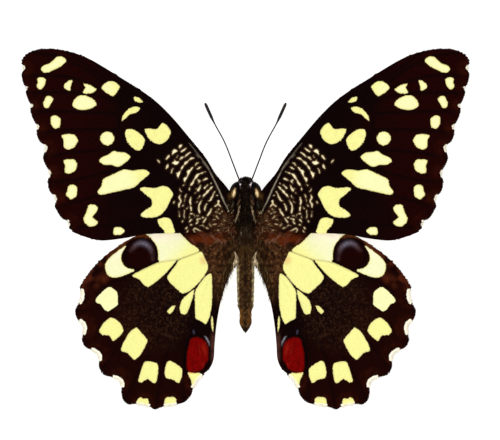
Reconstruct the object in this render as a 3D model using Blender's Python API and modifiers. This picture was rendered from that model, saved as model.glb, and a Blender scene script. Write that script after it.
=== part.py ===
"""Chequered swallowtail at life size, wings spread flat, standing on its six legs.

Frame: +Y towards the head, +X the animal's right side, +Z up, the origin on the floor
under the middle of the outline. Lengths are in millimetres until a mesh is made.
"""
import math

import bmesh
import bpy
from mathutils import Matrix, Vector
from mathutils.geometry import delaunay_2d_cdt

for old in list(bpy.data.objects):
    bpy.data.objects.remove(old, do_unlink=True)

MM = 0.001
GAP = 0.3

# Wings: the membrane, the ridge that a vein raises on both faces, and how the wings lie.
MEMBRANE = 0.5
RIDGE = 0.82
RIDGE_HALF_WIDTH = 0.42
FOREWING_ROOT_Z = 8.0
WING_DROP = RIDGE + GAP + 0.05
DIHEDRAL = 0.042
CAMBER = 0.35
WING_SPAN_HALF = 44.7

# Body: heights above the floor.
BODY_Z = 6.3
FOOT_Z = 0.2

# Thorax stations along y: half width, lowest z and highest z.
THORAX = [
    (7.35, 0.5, 5.9, 7.2),
    (7.1, 1.5, 5.2, 8.0),
    (6.4, 2.2, 4.4, 8.7),
    (5.0, 2.8, 3.5, 9.3),
    (3.0, 3.0, 3.1, 9.6),
    (1.0, 2.9, 3.1, 9.5),
    (-1.0, 2.5, 3.6, 9.0),
    (-2.5, 1.9, 4.2, 8.2),
    (-3.1, 1.2, 5.0, 7.5),
    (-3.3, 0.4, 5.8, 6.7),
]

# Abdomen: its ends, half width along it, and the depth of the grooves between segments.
ABDOMEN_FRONT = -3.5
ABDOMEN_REAR = -20.5
ABDOMEN_SEGMENTS = 9
ABDOMEN_GROOVE = 0.1
ABDOMEN_SAG = 0.9
RINGS_PER_SEGMENT = 3
ABDOMEN_WIDTH = [
    (0.0, 1.2), (0.1, 1.78), (0.32, 1.84), (0.5, 1.74), (0.7, 1.62), (0.76, 1.3), (0.85, 1.22),
    (0.89, 1.3), (0.95, 0.85), (1.0, 0.38),
]

# Head: centre and radii, the eyes set obliquely in it, and the feelers.
HEAD_CENTRE = (0.0, 8.5, 6.5)
HEAD_RADII = (1.95, 1.55, 1.9)
EYE_CENTRE = (1.8, 8.3, 6.55)
EYE_RADII = (1.15, 1.6, 1.5)
EYE_TURN = math.radians(43)
FEELER_RADIUS = 0.26
CLUB_RADIUS = 0.38
CLUB_START = 0.75
FEELER_ROUTE = [
    (0.7, 9.2, 6.9), (1.3, 10.1, 7.8), (2.5, 13.2, 8.5), (4.2, 17.5, 8.9), (6.3, 21.4, 9.2),
    (8.1, 25.3, 9.5),
]
PALP_ROUTE = [(0.85, 9.3, 4.7), (0.9, 9.95, 5.0), (0.92, 10.15, 5.6), (0.85, 10.05, 6.3)]
PALP_RADIUS = 0.36

# Proboscis: a flat coil under the head, in the plane of symmetry.
COIL_ROOT = (0.0, 9.2, 5.4)
COIL_CENTRE = (0.0, 9.0, 3.65)
COIL_START = math.radians(60)
COIL_STEPS = 18
COIL_RADIUS = 1.05
COIL_PITCH = 0.74
COIL_TURNS = 1.05
COIL_TUBE = 0.22

# Legs on the right: hip, end of the coxa, knee, ankle and claw.
LEGS = {
    "foreleg": [(1.0, 4.9, 4.6), (2.3, 5.7, 3.1), (5.7, 8.2, 4.9), (8.3, 10.1, 0.35), (10.8, 11.9, FOOT_Z)],
    "midleg": [(1.3, 2.3, 4.4), (2.9, 2.2, 2.9), (7.0, 2.0, 4.9), (10.4, 1.2, 0.35), (13.6, 0.8, FOOT_Z)],
    "hindleg": [(1.2, -0.3, 4.6), (2.4, -0.9, 3.3), (5.2, -4.0, 4.9), (7.4, -7.0, 0.35), (9.4, -9.6, FOOT_Z)],
}
LEG_RADII = [0.6, 0.55, 0.42, 0.36, 0.27, 0.25]
JOINT_ROUND = 0.5

# Forewing, right side: the leading edge, the scalloped outer margin and the trailing edge.
FOREWING_ROOT = [(1.0, -0.5), (1.0, 5.4), (2.4, 6.6)]
FOREWING_COSTA = [
    (2.4, 6.6), (4.0, 8.8), (6.0, 11.15), (8.0, 14.4), (11.0, 18.1), (15.0, 22.8), (19.0, 26.5),
    (25.0, 30.4), (31.0, 34.0), (35.0, 35.5), (39.0, 36.1), (42.0, 35.8), (44.0, 34.7), (44.7, 33.3),
]
FOREWING_MARGIN = [
    (44.7, 33.3), (44.05, 32.3), (44.5, 31.2), (44.5, 30.3), (44.1, 29.0),
    (43.6, 28.4), (43.75, 27.6), (43.6, 26.8), (43.0, 25.4),
    (42.55, 24.8), (42.85, 23.9), (42.7, 23.1), (42.0, 21.5),
    (41.4, 20.5), (41.55, 19.7), (41.5, 18.9), (40.9, 17.5),
    (39.95, 16.3), (40.2, 15.0), (40.2, 14.0), (39.5, 12.4),
    (38.95, 11.2), (39.25, 10.0), (39.3, 9.0), (38.9, 7.5),
    (37.95, 6.2), (37.95, 4.9), (37.5, 3.7), (36.4, 2.2),
    (35.35, 1.4), (35.0, 0.2),
]
FOREWING_TRAIL = [
    (35.0, 0.2), (34.0, -0.6), (32.0, -1.5), (30.0, -2.05), (28.0, -2.2), (24.0, -1.7),
    (20.0, -0.95), (14.0, -0.75), (7.0, -0.7), (1.0, -0.5),
]
FOREWING_VEINS = {
    "subcosta": [(2.0, 4.8), (8.0, 13.5), (14.0, 20.8), (20.0, 26.4), (25.4, 30.4)],
    "cell_front": [(2.0, 3.7), (8.0, 12.0), (14.5, 19.0), (20.0, 23.6), (24.8, 25.2)],
    "cell_end": [(24.8, 25.2), (25.6, 23.2), (25.3, 20.0), (24.0, 16.2)],
    "cell_rear": [(2.0, 2.7), (8.0, 6.9), (14.0, 10.5), (19.0, 12.5), (24.0, 16.2)],
    "radius_1": [(14.5, 19.0), (20.0, 24.8), (25.0, 28.8), (30.0, 33.3)],
    "radius_3": [(24.8, 25.2), (28.0, 28.9), (33.0, 32.6), (38.0, 34.7), (42.6, 35.4)],
    "radius_4": [(24.8, 25.2), (28.8, 28.0), (33.0, 29.8), (38.0, 30.8), (44.5, 30.7)],
    "radius_5": [(24.8, 25.2), (30.0, 26.9), (34.0, 27.3), (43.7, 27.3)],
    "media_1": [(25.6, 23.2), (30.0, 23.4), (36.0, 23.6), (42.8, 23.5)],
    "media_2": [(25.3, 20.0), (30.0, 20.0), (36.0, 19.8), (41.5, 19.3)],
    "media_3": [(24.0, 16.2), (30.0, 15.8), (35.0, 15.3), (40.2, 14.5)],
    "cubitus_1": [(19.0, 12.5), (24.5, 12.3), (29.0, 11.2), (34.0, 10.0), (39.3, 9.5)],
    "cubitus_2": [(14.0, 10.5), (21.0, 9.2), (29.0, 7.0), (33.0, 5.8), (37.8, 4.4)],
    "anal": [(2.0, 1.5), (10.0, 2.2), (17.0, 2.3), (25.0, 1.0), (34.9, 0.4)],
}

# Hindwing, right side: the front edge lies hidden under the forewing.
HINDWING_ROOT = [(1.2, -2.9), (1.0, 0.2), (2.6, 0.6)]
HINDWING_COSTA = [
    (2.6, 0.6), (8.0, 1.9), (14.0, 1.5), (20.0, -0.4), (24.0, -2.4), (28.0, -5.2), (31.0, -8.2),
    (33.1, -11.4),
]
HINDWING_MARGIN = [
    (33.1, -11.4), (32.75, -13.0), (33.4, -15.0), (33.95, -16.4), (33.4, -18.0),
    (32.5, -19.3), (32.35, -20.8), (32.6, -22.0), (31.6, -23.7),
    (30.0, -24.4), (29.3, -25.7), (29.2, -27.4), (28.2, -29.0), (26.8, -29.5),
    (25.2, -30.1), (24.75, -31.6), (24.6, -33.4), (23.6, -34.9), (22.2, -34.9),
    (20.6, -34.9), (19.2, -35.4), (18.1, -35.9), (16.7, -35.4),
    (15.2, -35.0), (13.6, -34.9), (12.2, -34.4), (11.1, -33.0),
    (10.5, -31.4), (9.8, -30.1), (8.4, -28.95),
]
HINDWING_TRAIL = [
    (8.4, -28.95), (7.2, -27.9), (6.4, -26.0), (6.2, -23.0), (5.8, -19.0), (5.1, -15.0), (3.95, -11.0),
    (3.2, -9.0), (2.5, -7.6), (2.3, -5.6), (2.2, -4.0), (1.2, -2.9),
]
HINDWING_VEINS = {
    "subcosta": [
        (1.6, -0.3), (8.0, 0.7), (14.0, 0.3), (20.0, -1.6), (26.0, -4.9), (30.0, -8.5), (32.9, -12.0),
    ],
    "cell_front": [(1.6, -1.2), (5.0, -2.8), (9.0, -4.4), (13.4, -6.05)],
    "cell_end": [(13.4, -6.05), (15.85, -9.3), (14.7, -11.3), (13.0, -13.1)],
    "cell_rear": [(1.6, -2.1), (4.6, -5.4), (7.2, -8.8), (10.2, -11.9), (13.0, -13.1)],
    "radius": [(13.4, -6.05), (17.1, -6.6), (23.0, -9.2), (27.3, -10.9), (31.0, -13.6), (33.9, -16.4)],
    "media_1": [(15.85, -9.3), (20.0, -12.2), (25.0, -16.4), (29.0, -19.3), (32.6, -22.2)],
    "media_2": [(14.7, -11.3), (19.0, -16.1), (24.0, -21.7), (29.0, -27.9)],
    "media_3": [(13.0, -13.1), (15.6, -18.0), (19.6, -25.4), (22.2, -30.0), (24.4, -34.2)],
    "cubitus_1": [(10.2, -11.9), (12.8, -18.2), (16.2, -26.0), (17.2, -31.0), (18.1, -35.8)],
    "cubitus_2": [(7.2, -8.8), (10.0, -17.2), (12.1, -25.0), (12.4, -30.0), (12.6, -34.6)],
    "anal": [(1.9, -2.9), (3.6, -6.6), (5.7, -12.0), (6.8, -19.0), (7.1, -24.5), (8.2, -28.8)],
}
EDGE_STEP = 2.2
MARGIN_STEP = 0.95
VEIN_STEP = 3.0

BLACK_BROWN = (0.012, 0.006, 0.004)
DARK_BROWN = (0.03, 0.014, 0.007)
WING_BLACK = (0.016, 0.006, 0.004)
EYE_BLACK = (0.006, 0.004, 0.004)

parts = bpy.data.collections.new("chequered_swallowtail")
cutters = bpy.data.collections.new("cutters")
bpy.context.scene.collection.children.link(parts)
bpy.context.scene.collection.children.link(cutters)


def finish(name, colour, roughness):
    """A Principled material for one node."""
    material = bpy.data.materials.new(name)
    material.use_nodes = True
    shader = material.node_tree.nodes["Principled BSDF"]
    shader.inputs["Base Color"].default_value = (*colour, 1.0)
    shader.inputs["Roughness"].default_value = roughness
    shader.inputs["Metallic"].default_value = 0.0
    return material


def add_object(name, mesh, colour, roughness=0.6):
    """A named object in the collection of parts, with its own material."""
    mesh.materials.clear()
    mesh.materials.append(finish(name, colour, roughness))
    mesh.shade_smooth()
    piece = bpy.data.objects.new(name, mesh)
    parts.objects.link(piece)
    return piece


def add_cutter(name, mesh):
    """A hidden object that only cuts others."""
    cutter = bpy.data.objects.new(name, mesh)
    cutter.hide_render = True
    cutter.display_type = "WIRE"
    cutters.objects.link(cutter)
    return cutter


def cut(piece, cutter):
    """Leave the cutter's shape out of the piece."""
    modifier = piece.modifiers.new("clear_of_" + cutter.name, "BOOLEAN")
    modifier.operation = "DIFFERENCE"
    modifier.object = cutter
    modifier.solver = "EXACT"


def mirrored(points, side):
    """Points of the right side, or their mirror image for the left."""
    return [(p[0] * side, *p[1:]) for p in points]


def smooth(points, step):
    """A Catmull-Rom curve through the points, sampled about every step and at each point."""
    ends = [2 * Vector(points[0]) - Vector(points[1])] + [Vector(p) for p in points]
    ends.append(2 * Vector(points[-1]) - Vector(points[-2]))
    curve = [ends[1]]
    for a, b, c, d in zip(ends, ends[1:], ends[2:], ends[3:]):
        count = max(1, round((c - b).length / step))
        for i in range(1, count + 1):
            t = i / count
            curve.append(0.5 * (2 * b + (c - a) * t + (2 * a - 5 * b + 4 * c - d) * t * t
                                + (3 * b - a - 3 * c + d) * t ** 3))
    return curve


def between(table, at):
    """The value at a place along a table of (place, value) rows, eased from row to row."""
    for (p0, v0), (p1, v1) in zip(table, table[1:]):
        if at <= p1:
            t = max(0.0, (at - p0) / (p1 - p0))
            return v0 + (v1 - v0) * t * t * (3 - 2 * t)
    return table[-1][1]


def loft(name, rings, sides=20):
    """A closed mesh through elliptic rings, each given as y, z, half width and half height."""
    mesh = bpy.data.meshes.new(name)
    shape = bmesh.new()
    loops = []
    for y, z, wide, high in rings:
        loop = []
        for i in range(sides):
            turn = 2 * math.pi * i / sides
            place = Vector((wide * math.cos(turn), y, z + high * math.sin(turn)))
            loop.append(shape.verts.new(place * MM))
        loops.append(loop)
    for near, far in zip(loops, loops[1:]):
        for i in range(sides):
            j = (i + 1) % sides
            shape.faces.new((near[i], near[j], far[j], far[i]))
    shape.faces.new(loops[0][::-1])
    shape.faces.new(loops[-1])
    bmesh.ops.triangulate(shape, faces=shape.faces)
    bmesh.ops.recalc_face_normals(shape, faces=shape.faces)
    shape.to_mesh(mesh)
    shape.free()
    return mesh


def ellipsoid(name, centre, radii, turn=0.0, grow=0.0, segments=20):
    """A closed ellipsoid, turned about the vertical and grown by a clearance."""
    mesh = bpy.data.meshes.new(name)
    shape = bmesh.new()
    scale = Matrix.Diagonal([(r + grow) * MM for r in radii] + [1.0])
    place = Matrix.Translation(Vector(centre) * MM) @ Matrix.Rotation(turn, 4, "Z") @ scale
    bmesh.ops.create_uvsphere(shape, u_segments=segments, v_segments=segments // 2, radius=1.0,
                              matrix=place)
    shape.to_mesh(mesh)
    shape.free()
    return mesh


def tube(name, points, radii, resolution=2):
    """A closed tube along the points, its ends capped, as a mesh."""
    curve = bpy.data.curves.new(name, "CURVE")
    curve.dimensions = "3D"
    curve.bevel_depth = MM
    curve.bevel_resolution = resolution
    curve.use_fill_caps = True
    spline = curve.splines.new("POLY")
    spline.points.add(len(points) - 1)
    for point, place, radius in zip(spline.points, points, radii):
        point.co = (*(Vector(place) * MM), 1.0)
        point.radius = radius
    guide = bpy.data.objects.new(name + "_guide", curve)
    cutters.objects.link(guide)
    evaluated = guide.evaluated_get(bpy.context.evaluated_depsgraph_get())
    mesh = bpy.data.meshes.new_from_object(evaluated)
    bpy.data.objects.remove(guide, do_unlink=True)
    shape = bmesh.new()
    shape.from_mesh(mesh)
    bmesh.ops.remove_doubles(shape, verts=shape.verts, dist=0.00001)
    bmesh.ops.recalc_face_normals(shape, faces=shape.faces)
    shape.to_mesh(mesh)
    shape.free()
    return mesh


def flatten_below_floor(mesh):
    """Cut a mesh off level at the floor and close the cut, which leaves small flats to rest on."""
    shape = bmesh.new()
    shape.from_mesh(mesh)
    everything = shape.verts[:] + shape.edges[:] + shape.faces[:]
    cut_off = bmesh.ops.bisect_plane(shape, geom=everything, dist=1e-6, plane_co=(0, 0, 0),
                                     plane_no=(0, 0, 1), clear_inner=True)
    rim = [e for e in cut_off["geom_cut"] if isinstance(e, bmesh.types.BMEdge)]
    bmesh.ops.holes_fill(shape, edges=rim, sides=0)
    bmesh.ops.triangulate(shape, faces=shape.faces)
    bmesh.ops.recalc_face_normals(shape, faces=shape.faces)
    shape.to_mesh(mesh)
    shape.free()


def thorax_rings(grow=0.0):
    """The thorax's rings, grown by a clearance all round."""
    rings = []
    for y, wide, low, high in smooth(THORAX, 1.2):
        push = grow * (1 if y > 7.3 else -1 if y < -3.25 else 0)
        rings.append((y + push, (low + high) / 2, wide + grow, (high - low) / 2 + grow))
    return rings


def abdomen_rings():
    """The abdomen's rings: it narrows at a groove after each segment and sags to the rear."""
    rings = []
    steps = ABDOMEN_SEGMENTS * RINGS_PER_SEGMENT
    for i in range(steps + 1):
        t = i / steps
        groove = ABDOMEN_GROOVE if i % RINGS_PER_SEGMENT == 0 and 0 < i < steps else 0.0
        wide = between(ABDOMEN_WIDTH, t) - groove
        y = ABDOMEN_FRONT + (ABDOMEN_REAR - ABDOMEN_FRONT) * t
        rings.append((y, BODY_Z - ABDOMEN_SAG * t * t, wide, wide * 1.02))
    return rings


def wing_height(x, y):
    """Height of a forewing's middle surface: it rises to the tip and is slightly arched."""
    out = abs(x) / WING_SPAN_HALF
    return FOREWING_ROOT_Z + DIHEDRAL * abs(x) + CAMBER * math.sin(math.pi * min(1.0, out)) * 0.5


def distance(point, line):
    """The distance from a point to a polyline, in the plane."""
    best = 1e9
    for a, b in zip(line, line[1:]):
        span = b - a
        t = max(0.0, min(1.0, (point - a).dot(span) / max(span.length_squared, 1e-9)))
        best = min(best, (a + span * t - point).length)
    return best


def vein_flanks(line, others):
    """Runs of points beside a vein, on both sides, that no other vein comes close to."""
    runs = []
    for side in (-1, 1):
        run = []
        for before, here, after in zip(line, line[1:], line[2:]):
            along = (after - before).normalized()
            place = here + Vector((-along.y, along.x)) * RIDGE_HALF_WIDTH * side
            if all(distance(place, other) > RIDGE_HALF_WIDTH * 1.3 for other in others):
                run.append(place)
            else:
                runs.append(run)
                run = []
        runs.append(run)
    return [run for run in runs if len(run) > 1]


def wing(name, edges, veins, side, drop, colour):
    """One wing: an arched sheet of triangles, thickened, with the veins raised in its surface."""
    outline = []
    for points, step in edges:
        outline += smooth(points, step)[:-1]
    lines = [smooth(points, VEIN_STEP) for points in veins.values()]
    verts = list(outline)
    constraints = []
    rim = outline + outline[:1]
    for i, line in enumerate(lines):
        others = lines[:i] + lines[i + 1:] + [rim]
        for run in [line] + vein_flanks(line, others):
            start = len(verts)
            verts += run
            constraints += [(start + k, start + k + 1) for k in range(len(run) - 1)]
    face = [list(range(len(outline)))]
    flat, _, triangles, *_ = delaunay_2d_cdt(verts, constraints, face, 1, 0.02)
    mesh = bpy.data.meshes.new(name)
    shape = bmesh.new()
    crest = shape.verts.layers.deform.verify()
    made = []
    for place in flat:
        vert = shape.verts.new((place.x * side * MM, place.y * MM, (wing_height(*place) - drop) * MM))
        near = min(distance(place, line) for line in lines)
        vert[crest][0] = max(0.0, 1.0 - near / RIDGE_HALF_WIDTH)
        made.append(vert)
    for triangle in triangles:
        corners = triangle[::side]
        shape.faces.new([made[i] for i in corners])
    loose = [v for v in shape.verts if not v.link_faces]
    bmesh.ops.delete(shape, geom=loose, context="VERTS")
    bmesh.ops.recalc_face_normals(shape, faces=shape.faces)
    if sum(f.normal.z for f in shape.faces) < 0:
        bmesh.ops.reverse_faces(shape, faces=shape.faces)
    shape.to_mesh(mesh)
    shape.free()
    piece = add_object(name, mesh, colour, 0.75)
    piece.vertex_groups.new(name="veins")
    thicken = piece.modifiers.new("thickness", "SOLIDIFY")
    thicken.thickness = RIDGE * MM
    thicken.offset = 0.0
    thicken.vertex_group = "veins"
    thicken.thickness_vertex_group = MEMBRANE / RIDGE
    return piece


def limb(name, joints, side, colour):
    """One leg: straight lengths between rounded joints, flat on the floor under its foot."""
    places = [Vector(p) for p in mirrored(joints, side)]
    route = [places[0]]
    radii = [LEG_RADII[0]]
    for i in range(1, len(places) - 1):
        back = (places[i - 1] - places[i]).normalized() * JOINT_ROUND
        ahead = (places[i + 1] - places[i]).normalized() * JOINT_ROUND
        route += [places[i] + back, places[i] + (back + ahead) * 0.25, places[i] + ahead]
        radii += [LEG_RADII[i], LEG_RADII[i], LEG_RADII[i + 1]]
    route.append(places[-1])
    radii.append(LEG_RADII[-1])
    for point in route[-2:]:
        point.z = FOOT_Z
    mesh = tube(name, route, radii)
    flatten_below_floor(mesh)
    return add_object(name, mesh, colour, 0.5)


thorax = add_object("thorax", loft("thorax", thorax_rings()), BLACK_BROWN)
abdomen = add_object("abdomen", loft("abdomen", abdomen_rings(), sides=16), DARK_BROWN)
head = add_object("head", ellipsoid("head", HEAD_CENTRE, HEAD_RADII), BLACK_BROWN)

around_thorax = add_cutter("around_thorax", loft("around_thorax", thorax_rings(GAP)))
around_head = add_cutter("around_head", ellipsoid("around_head", HEAD_CENTRE, HEAD_RADII, grow=GAP))
cut(head, around_thorax)

for word, side in (("right", 1), ("left", -1)):
    [eye_place] = mirrored([EYE_CENTRE], side)
    eye_mesh = ellipsoid("eye_" + word, eye_place, EYE_RADII, EYE_TURN * side)
    eye = add_object("eye_" + word, eye_mesh, EYE_BLACK, 0.25)
    socket_shape = ellipsoid("socket_" + word, eye_place, EYE_RADII, EYE_TURN * side, GAP)
    socket = add_cutter("socket_" + word, socket_shape)
    cut(head, socket)
    cut(eye, around_thorax)

    feeler_route = smooth(mirrored(FEELER_ROUTE, side), 2.0)
    feeler_radii = []
    for i in range(len(feeler_route)):
        club = max(0.0, i / (len(feeler_route) - 1) - CLUB_START) / (1 - CLUB_START)
        feeler_radii.append(FEELER_RADIUS + (CLUB_RADIUS - FEELER_RADIUS) * club)
    feeler_radii[-1] = FEELER_RADIUS
    feeler_mesh = tube("antenna_" + word, feeler_route, feeler_radii)
    feeler = add_object("antenna_" + word, feeler_mesh, BLACK_BROWN)
    cut(feeler, around_head)
    cut(feeler, socket)

    palp_route = smooth(mirrored(PALP_ROUTE, side), 0.4)
    palp_mesh = tube("palp_" + word, palp_route, [PALP_RADIUS] * len(palp_route))
    palp = add_object("palp_" + word, palp_mesh, BLACK_BROWN)
    cut(palp, around_head)
    cut(palp, socket)

    fore_edges = [(FOREWING_ROOT, EDGE_STEP), (FOREWING_COSTA, EDGE_STEP),
                  (FOREWING_MARGIN, MARGIN_STEP), (FOREWING_TRAIL, EDGE_STEP)]
    forewing = wing("forewing_" + word, fore_edges, FOREWING_VEINS, side, 0.0, WING_BLACK)
    cut(forewing, around_thorax)
    hind_edges = [(HINDWING_ROOT, EDGE_STEP), (HINDWING_COSTA, EDGE_STEP),
                  (HINDWING_MARGIN, MARGIN_STEP), (HINDWING_TRAIL, EDGE_STEP)]
    hindwing = wing("hindwing_" + word, hind_edges, HINDWING_VEINS, side, WING_DROP, WING_BLACK)
    cut(hindwing, around_thorax)

    for leg_name, joints in LEGS.items():
        leg = limb(leg_name + "_" + word, joints, side, BLACK_BROWN)
        cut(leg, around_thorax)

coil_route = [Vector(COIL_ROOT)]
for i in range(COIL_STEPS + 1):
    turned = COIL_TURNS * i / COIL_STEPS
    reach = COIL_RADIUS - COIL_PITCH * turned
    angle = COIL_START - 2 * math.pi * turned
    coil_route.append(Vector(COIL_CENTRE) + Vector((0.0, math.cos(angle), math.sin(angle))) * reach)
coil_mesh = tube("proboscis", coil_route, [COIL_TUBE] * len(coil_route))
proboscis = add_object("proboscis", coil_mesh, DARK_BROWN)
cut(proboscis, around_head)
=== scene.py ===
"""Chequered swallowtail, wings spread: scaled wings, hairy body, feelers, eyes and legs.

Lengths are in millimetres until a mesh is made. +Y is towards the head and +X the animal's right.
"""

import math
from collections import namedtuple

import bpy
import numpy as np
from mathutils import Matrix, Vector
from mathutils.geometry import delaunay_2d_cdt


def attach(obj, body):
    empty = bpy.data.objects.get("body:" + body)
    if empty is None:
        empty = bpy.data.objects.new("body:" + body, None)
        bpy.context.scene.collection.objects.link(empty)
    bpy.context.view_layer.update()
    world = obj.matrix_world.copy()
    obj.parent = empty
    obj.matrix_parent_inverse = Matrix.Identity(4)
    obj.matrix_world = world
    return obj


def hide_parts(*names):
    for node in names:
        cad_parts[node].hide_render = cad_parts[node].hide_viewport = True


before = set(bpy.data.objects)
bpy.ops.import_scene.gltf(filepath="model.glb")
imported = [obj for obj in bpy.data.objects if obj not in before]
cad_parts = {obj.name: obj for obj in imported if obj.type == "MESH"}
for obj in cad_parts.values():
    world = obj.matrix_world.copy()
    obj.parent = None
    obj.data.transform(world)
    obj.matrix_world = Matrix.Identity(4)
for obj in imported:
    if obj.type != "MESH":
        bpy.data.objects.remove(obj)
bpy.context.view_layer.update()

MM = 0.001
SEED = 7
SIDES = {"left": -1, "right": 1}

# How the wings lie, as in the solid model.
WING_ROOT_Z = 8.0
WING_DROP = 1.17
DIHEDRAL = 0.042
CAMBER = 0.35
HALF_SPAN = 44.7
MEMBRANE = 0.16
VEIN_HEIGHT = 0.13
VEIN_WIDTH = 0.26
# The membrane sinks by a pleat between two veins, from near each vein to well away from it.
PLEAT = 0.07
PLEAT_REACH = (0.2, 2.4)

# How finely the wings are drawn: the skin's mesh, and the rows of scales above and below.
SKIN_STEP = 0.42
ROW_SHARE = 0.866
UPPER_SCALE_ROWS = 0.21
LOWER_SCALE_ROWS = 0.3
# A scale's length and width as shares of the gap between rows: each row overlaps the next.
SCALE_LENGTH = 1.65
SCALE_WIDTH = 1.22
# The fringe's hairs: their spacing and width, how far in they root, the heights of their two layers, and
# their lengths, which grow where the fringe is cream.
FRINGE_STEP = 0.075
FRINGE_WIDTH = 0.11
FRINGE_ROOT = 0.12
FRINGE_LAYERS = (0.03, -0.03)
FRINGE_LENGTHS = (0.3, 0.42)
CREAM_FRINGE_GROWTH = 0.4
WING_HAIR_WIDTH = 0.085
WING_HAIR_SINK = 0.04
# How much larger the pale patches are on the underside.
FOREWING_UNDER_GROWTH = 0.35
HINDWING_UNDER_GROWTH = 0.4

# The wings' outlines in stretches, through points measured off the photo, each with its curve's step.
FOREWING_EDGE = {
    "root": ([(1.0, -0.5), (1.0, 5.4), (2.4, 6.6)], 0.8),
    "costa": ([(2.4, 6.6), (4.0, 8.8), (6.0, 11.15), (8.0, 14.4), (11.0, 18.1), (15.0, 22.8), (19.0, 26.5),
               (25.0, 30.4), (31.0, 34.0), (35.0, 35.5), (39.0, 36.1), (42.0, 35.8), (44.0, 34.7),
               (44.7, 33.3)], 0.5),
    "margin": ([(44.7, 33.3), (43.95, 32.3), (44.5, 31.2), (44.5, 30.3), (44.1, 28.95), (43.4, 28.4),
                (43.7, 27.6), (43.6, 26.8), (43.0, 25.4), (42.35, 24.8), (42.8, 23.9), (42.65, 23.1),
                (42.0, 21.5), (41.15, 20.6), (41.5, 19.7), (41.5, 18.9), (41.0, 17.7), (39.65, 16.7),
                (39.6, 15.9), (40.15, 15.0), (40.2, 13.9), (39.5, 12.4), (38.75, 11.3), (39.2, 10.0),
                (39.35, 9.2), (38.9, 7.5), (38.0, 6.9), (37.6, 6.0), (37.9, 4.8), (37.5, 3.7), (36.4, 2.2),
                (35.2, 1.8), (35.0, 0.2)], 0.3),
    "trail": ([(35.0, 0.2), (34.0, -0.6), (32.0, -1.5), (30.0, -2.05), (28.0, -2.2), (24.0, -1.7),
               (20.0, -0.95), (14.0, -0.75), (7.0, -0.7), (1.0, -0.5)], 0.5),
}
FOREWING_VEINS = {
    "subcosta": [(2.0, 4.8), (8.0, 13.5), (14.0, 20.8), (20.0, 26.4), (25.4, 30.4)],
    "cell_front": [(2.0, 3.7), (8.0, 12.0), (14.5, 19.0), (20.0, 23.6), (24.8, 25.2)],
    "cell_end": [(24.8, 25.2), (25.6, 23.2), (25.3, 20.0), (24.0, 16.2)],
    "cell_rear": [(2.0, 2.7), (8.0, 6.9), (14.0, 10.5), (19.0, 12.5), (24.0, 16.2)],
    "radius_1": [(14.5, 19.0), (20.0, 24.8), (25.0, 28.8), (30.0, 33.3)],
    "radius_2": [(19.0, 22.9), (24.0, 26.9), (30.0, 31.6), (35.4, 35.5)],
    "radius_3": [(24.8, 25.2), (28.0, 28.9), (33.0, 32.6), (38.0, 34.7), (42.6, 35.4)],
    "radius_4": [(24.8, 25.2), (28.8, 28.0), (33.0, 29.8), (38.0, 30.8), (44.5, 30.7)],
    "radius_5": [(24.8, 25.2), (30.0, 26.9), (34.0, 27.3), (43.7, 27.3)],
    "media_1": [(25.6, 23.2), (30.0, 23.4), (36.0, 23.6), (42.8, 23.5)],
    "media_2": [(25.3, 20.0), (30.0, 20.0), (36.0, 19.8), (41.5, 19.3)],
    "media_3": [(24.0, 16.2), (30.0, 15.8), (35.0, 15.3), (40.2, 14.5)],
    "cubitus_1": [(19.0, 12.5), (24.5, 12.3), (29.0, 11.2), (34.0, 10.0), (39.3, 9.5)],
    "cubitus_2": [(14.0, 10.5), (21.0, 9.2), (29.0, 7.0), (33.0, 5.8), (37.8, 4.4)],
    "anal": [(2.0, 1.5), (10.0, 2.2), (17.0, 2.3), (25.0, 1.0), (34.9, 0.4)],
}
HINDWING_EDGE = {
    "root": ([(1.2, -2.9), (1.0, 0.2), (2.6, 0.6)], 0.8),
    "costa": ([(2.6, 0.6), (8.0, 1.9), (14.0, 1.5), (20.0, -0.4), (24.0, -2.4), (28.0, -5.2), (31.0, -8.2),
               (33.1, -11.4)], 0.5),
    "margin": ([(33.1, -11.4), (32.6, -12.6), (32.8, -14.2), (33.5, -15.2), (33.95, -16.4), (33.5, -17.9),
                (32.4, -18.7), (32.1, -19.9), (32.4, -21.1), (32.6, -22.2), (31.7, -23.6), (30.2, -24.2),
                (29.1, -25.2), (29.2, -26.6), (29.1, -27.8), (28.2, -29.0), (26.9, -29.4), (25.4, -29.8),
                (24.6, -30.8), (24.75, -32.6), (24.3, -34.2), (23.4, -34.9), (22.0, -34.8), (20.6, -34.9),
                (19.2, -35.35), (18.1, -35.9), (16.7, -35.4), (15.2, -35.05), (13.4, -34.85), (12.2, -34.4),
                (11.1, -33.2), (10.6, -31.6), (9.8, -30.1), (8.4, -28.95)], 0.3),
    "trail": ([(8.4, -28.95), (7.2, -27.9), (6.4, -26.0), (6.2, -23.0), (5.8, -19.0), (5.1, -15.0),
               (3.95, -11.0), (3.2, -9.0), (2.5, -7.6), (2.3, -5.6), (2.2, -4.0), (1.2, -2.9)], 0.5),
}
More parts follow.
